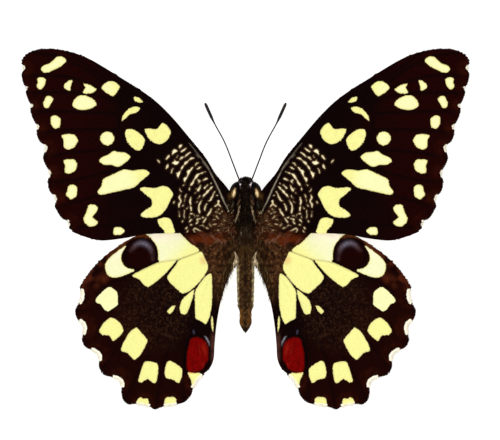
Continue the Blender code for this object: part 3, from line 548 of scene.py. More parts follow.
# The cream dashes of the forewing's base: chains of beads, each given as x, y and radius.
DASHES = [
    [(12.8, 16.85, 0.16), (13.05, 16.7, 0.25), (13.2, 16.35, 0.13)],
    [(11.9, 16.25, 0.1), (12.4, 15.9, 0.2), (12.85, 15.6, 0.15)],
    [(13.85, 15.7, 0.2), (14.2, 15.7, 0.37), (14.5, 15.3, 0.2), (14.65, 14.95, 0.09)],
    [(15.35, 14.75, 0.15), (15.55, 14.5, 0.22), (15.85, 14.1, 0.13)],
    [(17.6, 13.9, 0.1), (17.4, 13.7, 0.15), (17.2, 13.35, 0.09)],
    [(11.1, 15.4, 0.08), (11.5, 15.15, 0.16), (11.9, 14.8, 0.17), (12.1, 14.6, 0.1)],
    [(12.4, 14.5, 0.12), (12.8, 14.35, 0.22), (13.1, 14.0, 0.1)],
    [(13.6, 14.8, 0.06), (13.75, 14.4, 0.08)],
    [(10.4, 14.35, 0.12), (10.8, 14.25, 0.2), (11.2, 14.0, 0.12)],
    [(11.35, 13.9, 0.1), (11.7, 13.5, 0.2), (12.0, 13.3, 0.25), (12.2, 13.05, 0.12)],
    [(12.35, 12.85, 0.1), (12.6, 12.5, 0.2), (12.8, 12.2, 0.17), (13.0, 11.75, 0.08), (13.3, 11.3, 0.26),
     (13.5, 10.9, 0.26), (13.5, 10.35, 0.1)],
    [(13.4, 11.2, 0.22), (13.8, 11.2, 0.12)],
    [(13.45, 13.5, 0.15), (13.9, 13.3, 0.36), (14.3, 13.35, 0.25), (14.65, 13.3, 0.1)],
    [(14.1, 13.5, 0.2), (14.2, 13.9, 0.08)],
    [(15.55, 12.95, 0.14), (15.65, 12.6, 0.23), (15.9, 12.2, 0.12)],
    [(14.5, 12.2, 0.1), (14.7, 11.9, 0.13), (14.85, 11.3, 0.09)],
    [(9.4, 13.4, 0.06), (9.8, 13.2, 0.14), (10.05, 12.9, 0.12)],
    [(8.95, 12.5, 0.08), (9.3, 12.3, 0.18), (9.65, 12.15, 0.12)],
    [(10.45, 12.5, 0.12), (10.75, 12.25, 0.2), (11.0, 11.9, 0.15), (11.4, 11.6, 0.3), (11.45, 11.2, 0.24),
     (11.65, 10.7, 0.12), (11.9, 10.3, 0.2), (12.15, 10.0, 0.27), (12.2, 9.5, 0.1)],
    [(9.3, 11.1, 0.15), (9.65, 10.85, 0.25), (9.95, 10.4, 0.22), (10.3, 9.95, 0.14), (10.55, 9.4, 0.2),
     (10.8, 9.05, 0.22), (11.0, 8.8, 0.1)],
    [(8.0, 11.6, 0.08), (8.4, 11.45, 0.1), (8.75, 11.3, 0.17), (9.0, 11.2, 0.08)],
    [(7.65, 10.2, 0.1), (8.0, 10.1, 0.2), (8.5, 9.85, 0.12)],
    [(9.05, 9.75, 0.1), (9.25, 9.6, 0.2), (9.45, 9.3, 0.1)],
    [(9.35, 9.8, 0.15), (9.6, 9.95, 0.08)],
    [(6.85, 9.3, 0.08), (7.0, 9.1, 0.07)],
    [(7.55, 8.95, 0.1), (7.85, 8.65, 0.15), (8.1, 8.4, 0.2), (8.25, 8.15, 0.1)],
    [(9.0, 8.85, 0.1), (9.15, 8.4, 0.17), (9.45, 7.95, 0.24), (9.65, 7.7, 0.1)],
    [(9.7, 8.2, 0.12), (9.95, 8.1, 0.08)],
    [(10.0, 7.4, 0.06), (10.2, 7.25, 0.07)],
    [(11.2, 8.35, 0.1), (11.25, 8.1, 0.14), (11.2, 7.9, 0.08)],
    [(12.2, 9.0, 0.07), (12.5, 8.8, 0.1)],
    [(6.6, 8.6, 0.12), (6.95, 8.3, 0.18), (7.25, 7.95, 0.12), (7.6, 7.6, 0.22), (7.95, 7.2, 0.17),
     (8.3, 6.85, 0.2), (8.6, 6.4, 0.08)],
    [(6.2, 7.55, 0.11), (6.45, 7.1, 0.13), (6.55, 6.75, 0.11), (6.75, 6.35, 0.2), (7.0, 5.95, 0.18),
     (7.45, 5.65, 0.1)],
    [(5.6, 6.8, 0.09), (5.8, 6.85, 0.1)],
    [(5.4, 5.7, 0.22), (5.45, 5.3, 0.2), (5.6, 5.0, 0.18), (6.1, 4.65, 0.13)],
    [(5.35, 5.05, 0.16), (5.0, 4.6, 0.12)],
    [(9.15, 6.7, 0.1), (9.6, 6.2, 0.06)],
    [(8.8, 5.8, 0.11), (9.1, 5.3, 0.16), (9.3, 4.8, 0.13), (9.35, 4.2, 0.18), (9.25, 3.6, 0.2),
     (9.2, 3.2, 0.08)],
    [(9.6, 5.65, 0.06), (9.9, 5.4, 0.07)],
    [(10.95, 6.45, 0.1), (11.05, 5.9, 0.17), (11.1, 5.4, 0.17), (11.0, 4.95, 0.12)],
    [(11.0, 4.6, 0.12), (10.9, 4.2, 0.17), (10.9, 3.8, 0.1)],
    [(10.6, 3.15, 0.1), (11.0, 3.15, 0.14)],
    [(11.2, 2.8, 0.06), (11.25, 2.3, 0.08)],
    [(11.85, 6.95, 0.12), (12.0, 6.7, 0.14), (12.15, 6.2, 0.07), (12.2, 5.7, 0.09)],
    [(13.1, 8.2, 0.07), (13.1, 7.85, 0.11), (12.8, 7.6, 0.1)],
    [(13.1, 6.9, 0.12), (13.25, 6.4, 0.17), (13.0, 5.9, 0.16), (13.0, 5.5, 0.16), (13.3, 5.0, 0.19),
     (13.3, 4.5, 0.12)],
    [(14.25, 5.6, 0.1), (14.4, 5.3, 0.14)],
    [(12.35, 5.0, 0.1), (12.55, 4.7, 0.15)],
    [(11.5, 4.4, 0.08), (11.8, 4.15, 0.07)],
    [(12.25, 3.8, 0.09), (12.25, 3.3, 0.07), (12.35, 2.8, 0.09), (12.2, 2.3, 0.12)],
    [(13.3, 3.6, 0.07), (13.2, 2.6, 0.08)],
    [(6.8, 4.15, 0.12), (7.05, 3.6, 0.17), (7.3, 3.2, 0.2), (7.6, 2.85, 0.14)],
    [(7.75, 5.15, 0.13), (8.0, 4.7, 0.17), (8.15, 4.2, 0.17), (8.15, 3.75, 0.08)],
    [(8.35, 2.4, 0.12), (8.65, 2.4, 0.17)],
    [(7.85, 2.3, 0.12), (8.1, 1.9, 0.16), (8.45, 1.45, 0.13)],
    [(9.1, 2.15, 0.08), (9.7, 2.05, 0.12), (9.5, 1.6, 0.12), (9.85, 1.2, 0.17)],
    [(10.35, 3.0, 0.06), (10.15, 2.5, 0.08)],
    [(9.4, 2.7, 0.09), (9.8, 2.75, 0.08)],
    [(10.75, 1.95, 0.1), (11.0, 1.85, 0.17), (11.25, 1.5, 0.1)],
    [(10.75, 0.95, 0.12), (11.0, 0.9, 0.15)],
    [(11.75, 0.4, 0.14), (11.9, 0.15, 0.16)],
    [(11.45, -0.1, 0.08), (11.75, -0.6, 0.09)],
    [(8.9, -0.35, 0.09), (9.3, -0.2, 0.12), (9.8, 0.15, 0.12), (10.2, 0.2, 0.14), (10.4, -0.05, 0.11),
     (10.15, -0.55, 0.11)],
    [(7.5, 0.2, 0.11), (7.85, 0.35, 0.15)],
    [(8.2, 0.4, 0.06), (8.5, 0.8, 0.09), (9.1, 0.75, 0.07)],
    [(12.5, 1.75, 0.08), (12.65, 1.55, 0.1)],
    [(6.1, 2.0, 0.11), (6.5, 1.95, 0.1)],
    [(5.4, 2.2, 0.1), (5.7, 2.45, 0.15), (5.9, 2.7, 0.1)],
    [(5.1, 3.2, 0.1), (5.5, 3.4, 0.1), (6.0, 3.5, 0.08)],
    [(5.3, 4.1, 0.07), (5.6, 3.9, 0.08)],
    [(4.1, 1.8, 0.12), (4.4, 1.8, 0.13)],
    [(4.5, 0.9, 0.11), (4.85, 1.15, 0.14)],
    [(5.3, -0.2, 0.14), (5.6, -0.15, 0.14)],
    [(3.35, -0.6, 0.12), (3.4, 0.0, 0.16), (3.45, 0.5, 0.1)],
    [(4.6, 3.7, 0.1), (4.8, 3.5, 0.08)],
    [(3.9, 2.5, 0.08), (4.4, 2.7, 0.08)],
    [(5.9, 1.1, 0.11), (6.4, 1.0, 0.14)],
    [(6.9, 0.6, 0.1), (7.25, 1.05, 0.12)],
]
SUBCOSTAL_LINE = [(3.2, 3.6), (4.3, 5.5), (5.3, 7.9), (6.7, 10.7), (7.7, 12.7), (8.9, 14.3), (10.3, 16.1),
                  (11.3, 17.3)]
UNDER_STREAKS = [[(3.0, 3.4), (13.0, 14.5), (23.5, 23.0)], [(3.0, 3.2), (13.5, 13.0), (24.0, 20.5)],
                 [(3.0, 3.0), (13.0, 11.2), (23.0, 17.2)]]
HINDWING_FOLD = [(2.75, -4.6), (3.4, -6.0), (4.1, -7.2), (4.5, -9.0)]
RED_SPOT_FLECKS = [
    ([(7.25, -23.3, 0.04), (7.38, -22.7, 0.09), (7.6, -22.15, 0.15), (7.95, -21.7, 0.09),
      (8.2, -21.4, 0.03)], FLECK_GREY),
    ([(10.3, -21.0, 0.1), (10.45, -20.45, 0.2)], FLECK_BLUE),
]
UNDER_FULVOUS = [(22.6, -12.9, 1.9), (24.2, -16.9, 1.7), (20.4, -17.6, 1.9), (17.5, -20.4, 1.8),
                 (14.4, -21.6, 1.6)]

# Places on the wings that the colours spread from, and the run of the streaks in rust band and red spot.
FOREWING_BASE = (3.2, 1.0)
FOREWING_ROOT = (2.9, 6.7)
HINDWING_BASE = (3.0, -4.0)
HINDWING_INNER = (10.0, -10.0)
DISC_CENTRE = (18.5, -16.5)
BAND_CORNER = (8.4, -6.2)
PALE_SHOULDER = (28.0, -14.0)
UNDER_BASE = (3.0, -2.0)
EYESPOT_DARKEST = (21.3, -5.4)
LUNULE_PEAK = (20.4, -2.9)
RUST_RUN = (0.64, 0.77)
RED_RUN = (0.3, 0.95)
# Veins that show on the hindwing's pale patches, and how strongly.
PALE_VEINS = {"cell_front": 0.5, "radius": 0.3}


def chains(p, table):
    """How deep each point lies in chains of round beads, each bead given as x, y and radius."""
    best = np.full(len(p), -1.0)
    for beads in table:
        line = curve(beads, 0.1)
        near = np.all((p > line[:, :2].min(0) - 1) & (p < line[:, :2].max(0) + 1), axis=1)
        for x, y, radius in line:
            best[near] = np.maximum(best[near], radius - np.hypot(*(p[near] - (x, y)).T))
    return best


def squiggles(p, size, seed, width):
    """1 along thin winding lines about this far apart, 0 between them."""
    return 1 - ease(np.abs(mottle(p, size, seed)), width * 0.4, width)


def near_vein(away):
    """1 on a vein, fading away from it."""
    return np.exp(-(away / 0.35) ** 2)


def near_notches(p, notches):
    """How far inside the nearest notch's reach each point lies."""
    return np.max([reach - far(p, (x, y)) for x, y, reach in notches], axis=0)


def fringe_pale(p, notches):
    """1 where the margin's fringe is cream, 0 where it is black."""
    return np.max([1 - ease(far(p, (x, y)), reach * 0.8, reach * 1.1) for x, y, reach in notches], axis=0)


def warm_margin(p, ground, notches):
    """The ground with a red-brown tinge inside each notch of the outer margin."""
    tinge = ease(near_notches(p, notches), -1.5, 0.0) * (0.5 + 0.5 * mottle(p, 0.8, 42))
    return blend(ground, MARGIN_RUST, 0.45 * tinge)


def rust_band(p, ground):
    """The ground with the rust band across both wings' bases: streaked, and browner by the body."""
    x, y = p.T
    amount = ease(0.7 * mottle(p, 0.8, 13) - y, 0.0, 1.7) * ease(y + 0.7 * mottle(p, 1.0, 23), -3.6, -1.9)
    amount = amount * ease(0.8 * mottle(p, 0.7, 19) - x, -13.6, -8.8)
    outer = ease(x + mottle(p, 1.2, 15), 5.5, 8.0)
    rust = np.clip(0.35 + 0.5 * outer + 0.35 * grain(p, RUST_RUN, 0.35, 16), 0, 1)
    strands = ease(grain(p, RUST_RUN, 0.3, 17, 0.22), 0.2, 0.7)
    return blend(blend(ground, RUST, amount * rust), STRAND, amount * strands * (0.75 - 0.6 * outer))


def patch_outlines(patches):
    return {name: curve(points, 0.3, closed=True, roundness=0.7) for name, points in patches.items()}


def forewing_cream(p, spots):
    """The pale patches: yellower near the body and warmer along their edges."""
    inner = ease(0.25 * p[:, 1] - p[:, 0], -21.5, -17.5)
    edge = np.maximum(1 - ease(spots, 0.0, 0.4), 0.5 * inner * ease(mottle(p, 0.6, 12), 0.1, 0.9))
    return blend(blend(CREAM, YELLOW_CREAM, inner), CREAM_EDGE, edge)


def dash_colour(p, marks):
    """The dashes of the base: tan by the body, and cream in the middle of those further out."""
    x, y = p.T
    colour = blend(DASH_BROWN, DASH_TAN, ease(y + 0.9 * x, 4.0, 13.0))
    colour = blend(colour, DASH_CREAM, ease(marks, 0.08, 0.2) * (0.3 + 0.7 * ease(y, 2.0, 7.0)))
    return blend(colour, DASH_EDGE, 0.75 * (1 - ease(marks, 0.0, 0.1)))


def forewing_ground(p, away, marks):
    """The dark of the forewing: reddish outwards, brown at the base, with a grey vein in front."""
    x = p[:, 0]
    outer = ease(x + 3 * mottle(p, 4.0, 11), 18, 36) * (1 - 0.75 * near_vein(away))
    ground = warm_margin(p, blend(BLACK, RED_BLACK, outer), FOREWING_NOTCHES)
    base = ease(-far(p, FOREWING_BASE, 0.8), -5.0, -2.2) * ease(x, 2.0, 3.0)
    ground = blend(ground, RED_BROWN, base * (0.45 + 0.4 * mottle(p, 0.7, 14)))
    ground = rust_band(p, ground)
    fine = squiggles(p, 0.5, 18, 0.22) * ease(mottle(p, 0.7, 16), -0.2, 0.4)
    ground = blend(ground, FINE_LINES, fine * base * 0.5)
    ground = blend(ground, BLACK, ease(mottle(p, 0.5, 20), 0.1, 0.7) * 0.75 * base)
    ground = blend(ground, DASH_SHADE, 0.85 * ease(marks, -0.35, 0.0))
    ground = blend(ground, ROOT_BROWN, 0.9 - 0.9 * ease(far(p, FOREWING_ROOT), 0.2, 1.0))
    line = gap(p, curve(SUBCOSTAL_LINE, 1.0))
    ground = blend(ground, BLACK, (1 - ease(line, 0.5, 1.1)) * ease(x, 2.5, 4.0))
    fade = ease(x, 4.0, 11.0)
    thin = 1 - ease(line, 0.05 - 0.03 * fade, 0.18 - 0.08 * fade)
    return blend(ground, VEIN_GREY, thin * (0.95 - 0.6 * fade))


def paint_forewing(p, away, face):
    """At each point: the ground colour, the pale colour, and how deep it lies in a pale patch."""
    x, y = p.T
    spots = depth(p, patch_outlines(FOREWING_PATCHES).values())
    spots = spots + (FOREWING_UNDER_GROWTH if face < 0 else 0.0)
    marks = chains(p, DASHES) + 0.03 * mottle(p, 0.35, 3) + 0.01 * ease(-y, -6.0, -4.0)
    if face < 0:
        streak = np.min([gap(p, curve(line, 1.5)) for line in UNDER_STREAKS], axis=0)
        marks = 0.3 - streak - 0.25 * ease(x, 16, 22)
    pale = np.where((marks > spots)[:, None], dash_colour(p, marks), forewing_cream(p, spots))
    return forewing_ground(p, away, marks), pale, np.maximum(spots, marks)


def hindwing_cream(p, spots, ivory):
    """The pale patches: ivory in front, whiter on top partly by painted light, cream far out, fine olive
    veins.
    """
    x, y = p.T
    pale = blend(CREAM_EDGE, YELLOW_CREAM, ease(spots, 0.0, 0.4))
    pale = blend(pale, IVORY, ivory * ease(x + y, 6.0, 12.0))
    # The band's top is whiter: partly its own tone, partly painted light where the forewing's shadow falls
    # on it.
    pale = blend(pale, BAND_WHITE_AND_PAINTED_LIGHT, ivory * ease(y + 0.3 * x, 1.2, 4.2))
    pale = blend(pale, CORNER_TAN, 0.6 * (1 - ease(far(p, BAND_CORNER), 0.3, 1.3)))
    pale = blend(pale, CREAM, 1 - ease(far(p, PALE_SHOULDER), 2.5, 3.5))
    fine = [(1 - ease(gap(p, curve(HINDWING_VEINS[vein], 1.0)), 0.05, 0.2)) * strength
            for vein, strength in PALE_VEINS.items()]
    return blend(pale, OLIVE, np.max(fine, axis=0))


def hindwing_ground(p, away):
    """The dark of the hindwing: reddish outwards, and brown in the disc and at the base."""
    x, y = p.T
    outer = ease(far(p, HINDWING_INNER), 8, 20) * (1 - 0.6 * near_vein(away))
    ground = warm_margin(p, blend(BLACK, WARM_BLACK, outer), HINDWING_NOTCHES)
    flank = ease(x + 0.7 * y, 19.6, 21.8) * ease(mottle(p, 1.1, 43), -0.8, 0.6)
    ground = blend(ground, FLANK_RUST, 0.8 * flank * ease(y, -13.0, -10.0))
    disc = 1 - ease(far(p, DISC_CENTRE), 5.5, 9.5)
    ground = blend(ground, DISC_BROWN, disc * (0.05 + 0.5 * ease(mottle(p, 0.24, 21), 0.0, 0.8)))
    base = ease(-far(p, HINDWING_BASE, 0.55), -7.5, -3.8)
    ground = blend(ground, BASE_BROWN, base)
    ground = blend(ground, BASE_TAN, 0.75 * base * ease(mottle(p, 0.36, 22), 0.1, 0.7))
    ground = blend(ground, BLACK, 0.8 * base * ease(mottle(p, 0.4, 29), 0.0, 0.6))
    return rust_band(p, ground)


def eyespot(p, ground):
    """The ground with the black eyespot, its smoke-blue crescent and a chestnut shade in front of it."""
    ring = far(p, EYESPOT_CENTRE, 1.15)
    ground = blend(ground, RED_BLACK * 0.5, 1 - ease(ring, EYESPOT_RADIUS - 0.1, EYESPOT_RADIUS + 0.1))
    ground = blend(ground, EYESPOT_CORE, 1 - ease(far(p, EYESPOT_DARKEST), 2.0, 2.6))
    tips = ease(far(p, LUNULE_PEAK), 0.3, 3.2)
    smoke = np.exp(-(gap(p, curve(EYESPOT_LUNULE, 0.4)) / (0.5 - 0.12 * tips)) ** 2)
    smoke = smoke * (0.95 - 0.7 * tips + 0.12 * mottle(p, 0.4, 25))
    ground = blend(ground, blend(SMOKE_BLUE, SMOKE_ROSE, tips), smoke)
    above = (1 - ease(ring, 4.2, 5.4)) * ease(ring, 3.45, 3.8) * ease(p[:, 1] + 0.35 * p[:, 0], 4.5, 5.6)
    return blend(ground, CHESTNUT, above * (0.8 + 0.2 * mottle(p, 0.5, 39)))


def red_spot(p, ground, spot):
    """The ground with the streaked red spot on black, the inner margin beside it and the flecks in front."""
    x, y = p.T
    red = spot + 0.1 * mottle(p, 0.5, 26)
    ground = blend(ground, BLACK * 0.7, 1 - ease(-spot, 0.3, 0.9))
    margin = (1 - ease(x, 6.6, 7.3)) * ease(-y, 20.0, 22.0) * ease(y, -27.0, -26.0)
    ground = blend(ground, INNER_MARGIN, margin * (0.7 + 0.3 * mottle(p, 0.4, 28)))
    streak = 0.8 + 0.2 * ease(grain(p, RED_RUN, 0.4, 27, 0.2), -0.6, 0.3)
    ground = blend(ground, RED, ease(red, -0.15, 0.3) * streak)
    bright = ease(grain(p, RED_RUN, 0.3, 40, 0.15), 0.1, 0.8) * (1 - ease(x, 9.0, 10.2))
    ground = blend(ground, BRIGHT_RED, 0.6 * bright * ease(red, -0.1, 0.3))
    for beads, tone in RED_SPOT_FLECKS:
        fleck = chains(p, [beads]) + 0.1 * mottle(p, 0.25, 41)
        ground = blend(ground, tone, 0.9 * ease(fleck, -0.08, 0.12))
    return ground


def paint_hindwing(p, away, face):
    """The same for the hindwing, with its eyespot, red spot and cream notches."""
    patches = patch_outlines(HINDWING_PATCHES)
    spots = depth(p, patches.values())
    spots = spots + (HINDWING_UNDER_GROWTH if face < 0 else 0.0)
    margin = gap(p, curve(HINDWING_EDGE["margin"][0], 0.6))
    notches = np.minimum(near_notches(p, HINDWING_NOTCHES), NOTCH_CREAM - margin)
    ivory = ease(depth(p, [patches["band_1"], patches["ring_outer"]], 3.0), -0.1, 0.4)
    spot = depth(p, [curve(RED_SPOT, 0.3, closed=True)])
    pale = np.where((notches > spots)[:, None], FRINGE_CREAM, hindwing_cream(p, spots, ivory))
    pale = blend(pale, RED_SPOT_RIM, 0.8 * ease(spot, -0.4, -0.05))
    ground = red_spot(p, eyespot(p, hindwing_ground(p, away)), spot)
    if face < 0:
        spots = np.maximum(spots, 1.0 - ease(far(p, UNDER_BASE), 9.0, 11.0) * 2.0)
        spots = np.minimum(spots, away - 0.16)
        for x, y, radius in UNDER_FULVOUS:
            reach = far(p, (x, y))
            ground = blend(ground, FULVOUS, 1 - ease(reach, radius - 0.4, radius))
            edge = 1 - ease(np.abs(reach - radius - 0.1), 0.1, 0.35)
            ground = blend(ground, SMOKE_BLUE * 2.2, edge * 0.7)
    return ground, pale, np.maximum(spots, notches)


def wing_skin(wing):
    """The membrane of the right wing: closed, thin, its veins raised on both faces."""
    ridges = []
    for line in wing.lines:
        side = unit(crosswise(np.gradient(line, axis=0)))
        ridges += [line, (line + side * VEIN_WIDTH)[1:-1], (line - side * VEIN_WIDTH)[1:-1]]
    ridges = np.vstack(ridges)
    ridges = ridges[depth(ridges, [wing.outline]) > 0.25]
    low, high = wing.outline.min(0), wing.outline.max(0)
    columns, rows = np.arange(low[0], high[0], SKIN_STEP), np.arange(low[1], high[1], SKIN_STEP * ROW_SHARE)
    xs, ys = np.meshgrid(columns, rows)
    xs = xs + (np.arange(len(xs)) % 2)[:, None] * SKIN_STEP / 2
    grid = np.column_stack([xs.ravel(), ys.ravel()])
    grid = grid[depth(grid, [wing.outline]) > 0.2]
    grid = grid[np.min([gap(grid, line) for line in wing.lines], axis=0) > 0.45]
    flat = [Vector(v) for v in np.vstack([wing.outline, ridges, grid])]
    ring = [list(range(len(wing.outline)))]
    points, _, triangles, *_ = delaunay_2d_cdt(flat, [], ring, 1, 0.001)
    p = np.array([v[:] for v in points])
    faces = np.array(triangles)
    corner = p[faces]
    turned = np.cross(corner[:, 1] - corner[:, 0], corner[:, 2] - corner[:, 0]) < 0
    faces[turned] = faces[turned][:, ::-1]
    count = len(p)
    border = {}
    for a, b in np.vstack([faces[:, [0, 1]], faces[:, [1, 2]], faces[:, [2, 0]]]).tolist():
        if border.pop((b, a), None) is None:
            border[(a, b)] = True
    rim = [tri for a, b in border for tri in ((b, a, a + count), (b, a + count, b + count))]
    verts, values = [], []
    for face in (1, -1):
        z, away = wing_surface(wing, p, face)
        verts.append(np.column_stack([p, z]))
        values.append(wing.paint(p, away, face))
    ground, pale, cream = [np.concatenate(part) for part in zip(*values)]
    return (np.vstack(verts), np.vstack([faces, faces[:, ::-1] + count, rim]),
            {"ground": ground, "pale": pale, "cream": cream}, None)


def wing_scales(wing, face, spacing, seed):
    """Scales over one face of the right wing, in staggered rows about the wing's root.

    The real ones are about 0.15 mm long; these are drawn at two to three times that, so that they show.
    """
    random = np.random.default_rng(seed)
    roots = []
    for row, radius in enumerate(np.arange(0.4, far(wing.outline, wing.hub).max(), spacing)):
        count = max(6, int(2 * math.pi * radius / spacing))
        turn = (np.arange(count) + 0.5 * (row % 2)) * 2 * math.pi / count
        roots.append(np.column_stack([np.cos(turn), np.sin(turn)]) * radius + wing.hub)
    roots = np.vstack(roots)
    roots = roots[depth(roots, [wing.outline], 0.5) > 0.16]
    roots = roots + random.normal(0, spacing * 0.07, roots.shape)
    lie = unit(roots - wing.hub)
    tilt = random.normal(0, 0.09, len(roots))[:, None]
    across = crosswise(lie)
    lie, across = lie + across * tilt, across - lie * tilt
    size = random.normal(1.0, 0.07, (len(roots), 1, 1))
    along, side, up = SCALE_SHAPE.T
    run = (along * spacing * SCALE_LENGTH)[:, None]
    spread = (side * spacing * SCALE_WIDTH)[:, None]
    flat = (roots[:, None] + size * (lie[:, None] * run + across[:, None] * spread)).reshape(-1, 2)
    z, away = wing_surface(wing, flat, face)
    verts = np.column_stack([flat, z + face * np.tile(up, len(roots))])
    ground, pale, cream = wing.paint(flat, away, face)
    cream = cream + np.repeat(random.normal(0, 0.035, len(roots)), len(SCALE_SHAPE))
    ground = ground * np.repeat(random.uniform(0.7, 1.3, (len(roots), 1)), len(SCALE_SHAPE), axis=0)
    pale = pale * np.repeat(random.uniform(0.95, 1.03, (len(roots), 1)), len(SCALE_SHAPE), axis=0)
    faces = copies(SCALE_SHAPE, SCALE_FACES, len(roots))
    return (verts, faces if face > 0 else faces[:, ::-1],
            {"ground": ground, "pale": np.clip(pale, 0, 1), "cream": cream},
            patch_uv(wing_uv(wing, roots), SCALE_SHAPE))


def wing_fringe(wing, seed):
    """The fringe of hair scales along the outer margin, cream in the notches, in two layers."""
    random = np.random.default_rng(seed)
    line = wing.margin
    ahead = unit(np.gradient(line, axis=0))
    out = crosswise(ahead)
    shapes, colours, maps = [], [], []
    for lift in FRINGE_LAYERS:
        p = line + ahead * random.uniform(0, 0.07, (len(line), 1)) - out * FRINGE_ROOT
        pale = fringe_pale(p, wing.notches)
        z, _ = wing_surface(wing, p, 1)
        places = np.column_stack([p, z - MEMBRANE / 2 + lift])
        way = out + ahead * random.normal(0, 0.18, (len(p), 1))
        lies = unit(np.column_stack([way, random.normal(0, 0.06, len(p))]))
        lengths = random.uniform(*FRINGE_LENGTHS, len(p)) + CREAM_FRINGE_GROWTH * pale
        upwards = np.tile((0.0, 0.0, 1.0), (len(p), 1))
        shapes.append(locks(places, upwards, lies, lengths, FRINGE_WIDTH, 0.0, 0.0))
        colour = blend(BLACK, FRINGE_CREAM, ease(pale, 0.3, 0.4))
        colours.append(np.repeat(colour, len(LOCK_SHAPE), axis=0))
        maps.append(patch_uv(wing_uv(wing, p), LOCK_SHAPE))
    verts, faces, _ = join(shapes)
    return verts, faces, {"ground": np.vstack(colours)}, np.vstack(maps)


def wing_hair(wing, area, density, lie_at, length, tint, count, seed, lift=0.34):
    """Long soft hair on the upper face of the right wing, rooted in an area where the density says."""
    random = np.random.default_rng(seed)
    p = random.uniform(*area, (count, 2))
    p = p[(random.uniform(0, 1, count) < density(p)) & (depth(p, [wing.outline], 0.5) > 0.05)]
    z, _ = wing_surface(wing, p, 1)
    lies = unit(np.column_stack([lie_at(p) + random.normal(0, 0.22, p.shape), np.full(len(p), 0.05)]))
    lengths = length * random.uniform(0.6, 1.15, len(p))
    normals = np.tile((0.0, 0.0, 1.0), (len(p), 1))
    places = np.column_stack([p, z - WING_HAIR_SINK])
    verts, faces = locks(places, normals, lies, lengths, WING_HAIR_WIDTH, lift, 0.9 * lift)
    colour = np.repeat(tint(p, random), len(LOCK_SHAPE), axis=0)
    return verts, faces, {"ground": colour}, patch_uv(wing_uv(wing, p), LOCK_SHAPE)


# Hair of the wings' bases and inner margins: where it grows, which way it lies and its colour.
HAIR_BLACK = linear("080403")
HAIR_BROWN = linear("2C1A0A")
HAIR_CREAM = linear("F0D2A0")
HAIR_GREY = linear("4C4436")
HAIR_ROSE = linear("FFF2F2")
FOLD_TAN = linear("6A5634")
WAIST_DARK = linear("2E1C0E")
WAIST_TAN = linear("6A4E2E")
TUFT_CREAM = linear("F6DCB0")
TUFT_OLIVE = linear("84724A")
BASE_HAIR_CENTRE = (1.5, 0.5)


def base_density(p):
    return (1 - ease(far(p, BASE_HAIR_CENTRE, 0.9), 1.8, 4.8)) * (1 - ease(p[:, 1], 2.0, 3.4))


def base_lie(p):
    return np.column_stack([np.full(len(p), 0.8), -0.5 - 0.05 * p[:, 1]])


def base_tint(p, random):
    """Red-brown hair, rusty behind, with a tan one here and there."""
    colour = blend(RED_BROWN * 0.8, RUST * 0.7, ease(-p[:, 1], -1.0, 0.5))
    colour = blend(colour, TAN, 0.7 * (random.uniform(0, 1, len(p)) < 0.16))
    return colour * random.uniform(0.6, 1.3, (len(p), 1))


def margin_density(p):
    return 0.6 * (1 - ease(p[:, 0] + 0.1 * p[:, 1], 2.3, 4.8)) * ease(p[:, 1], -17.5, -12.0)


def margin_lie(p):
    return np.column_stack([-0.12 - 0.3 * ease(p[:, 1], -8.0, -6.0), np.full(len(p), -1.0)])


def margin_tint(p, random):
    """Dark brown hair with paler ones here and there, and more of them along a fold."""
    share = 0.18 + 0.5 * (1 - ease(gap(p, curve(HINDWING_FOLD, 1.0)), 0.1, 0.25))
    colour = blend(HAIR_BROWN, FOLD_TAN, 0.8 * (random.uniform(0, 1, len(p)) < share))
    return colour * random.uniform(0.6, 1.3, (len(p), 1))


def waist_density(p):
    return (1 - ease(p[:, 0], 2.9, 3.4)) * ease(p[:, 1], -7.3, -6.9) * ease(-p[:, 1], 2.6, 3.2)


def waist_lie(p):
    """Towards the body, and backwards."""
    return np.column_stack([np.full(len(p), -0.9), np.full(len(p), -0.7)])


def waist_tint(p, random):
    """Brown hair that closes the gap between the wings and the body."""
    colour = blend(WAIST_DARK, WAIST_TAN, 0.8 * (random.uniform(0, 1, len(p)) < 0.2))
    return colour * random.uniform(0.5, 1.5, (len(p), 1))


def tuft_density(p):
    near = 1 - ease(gap(p, curve(HINDWING_EDGE["trail"][0][-5:-1], 0.5)), 0.1, 0.25)
    return near * ease(-p[:, 1], 3.9, 4.7) * (1 - 0.75 * ease(-p[:, 1], 6.1, 6.3))


def tuft_lie(p):
    """Against the body in front, and along the wing's edge behind."""
    return np.column_stack([0.25 - 0.65 * ease(p[:, 1], -6.8, -6.5), np.full(len(p), -1.0)])


def tuft_tint(p, random):
    """Cream hair beside the body, olive further back."""
    return blend(TUFT_CREAM, TUFT_OLIVE, ease(-p[:, 1], 6.2, 6.7)) * random.uniform(0.45, 1.2, (len(p), 1))


# Body.
# The head's and thorax's rings from front to rear: y, half width, lowest and highest z.
BODY_RINGS = [
    (10.2, 0.35, 6.0, 7.0), (10.0, 1.05, 5.5, 7.5), (9.45, 1.65, 5.0, 8.0), (8.5, 1.75, 4.8, 8.2),
    (7.7, 1.6, 4.85, 8.1), (7.25, 1.5, 5.0, 8.05), (6.9, 1.75, 4.8, 8.25), (6.4, 2.1, 4.5, 8.6),
    (5.0, 2.65, 3.65, 9.15), (3.0, 2.85, 3.25, 9.45), (1.0, 2.75, 3.25, 9.35), (-1.0, 2.35, 3.75, 8.85),
    (-2.5, 1.8, 4.3, 8.05), (-3.3, 1.3, 4.95, 7.45)]
BODY_Z = 6.3
BODY_REAR = -21.0
BODY_LENGTH = 32.0
BODY_SIDES = 48
BODY_HAIRS = 19000
BODY_HAIR_WIDTH = 0.09
ABDOMEN_FRONT = -3.5
ABDOMEN_REAR = -20.5
ABDOMEN_SAG = 0.9
ABDOMEN_SEGMENTS = 9
ABDOMEN_RINGS = 90
ABDOMEN_GROOVE = 0.09
ABDOMEN_BEAD = (1.25, -17.4)
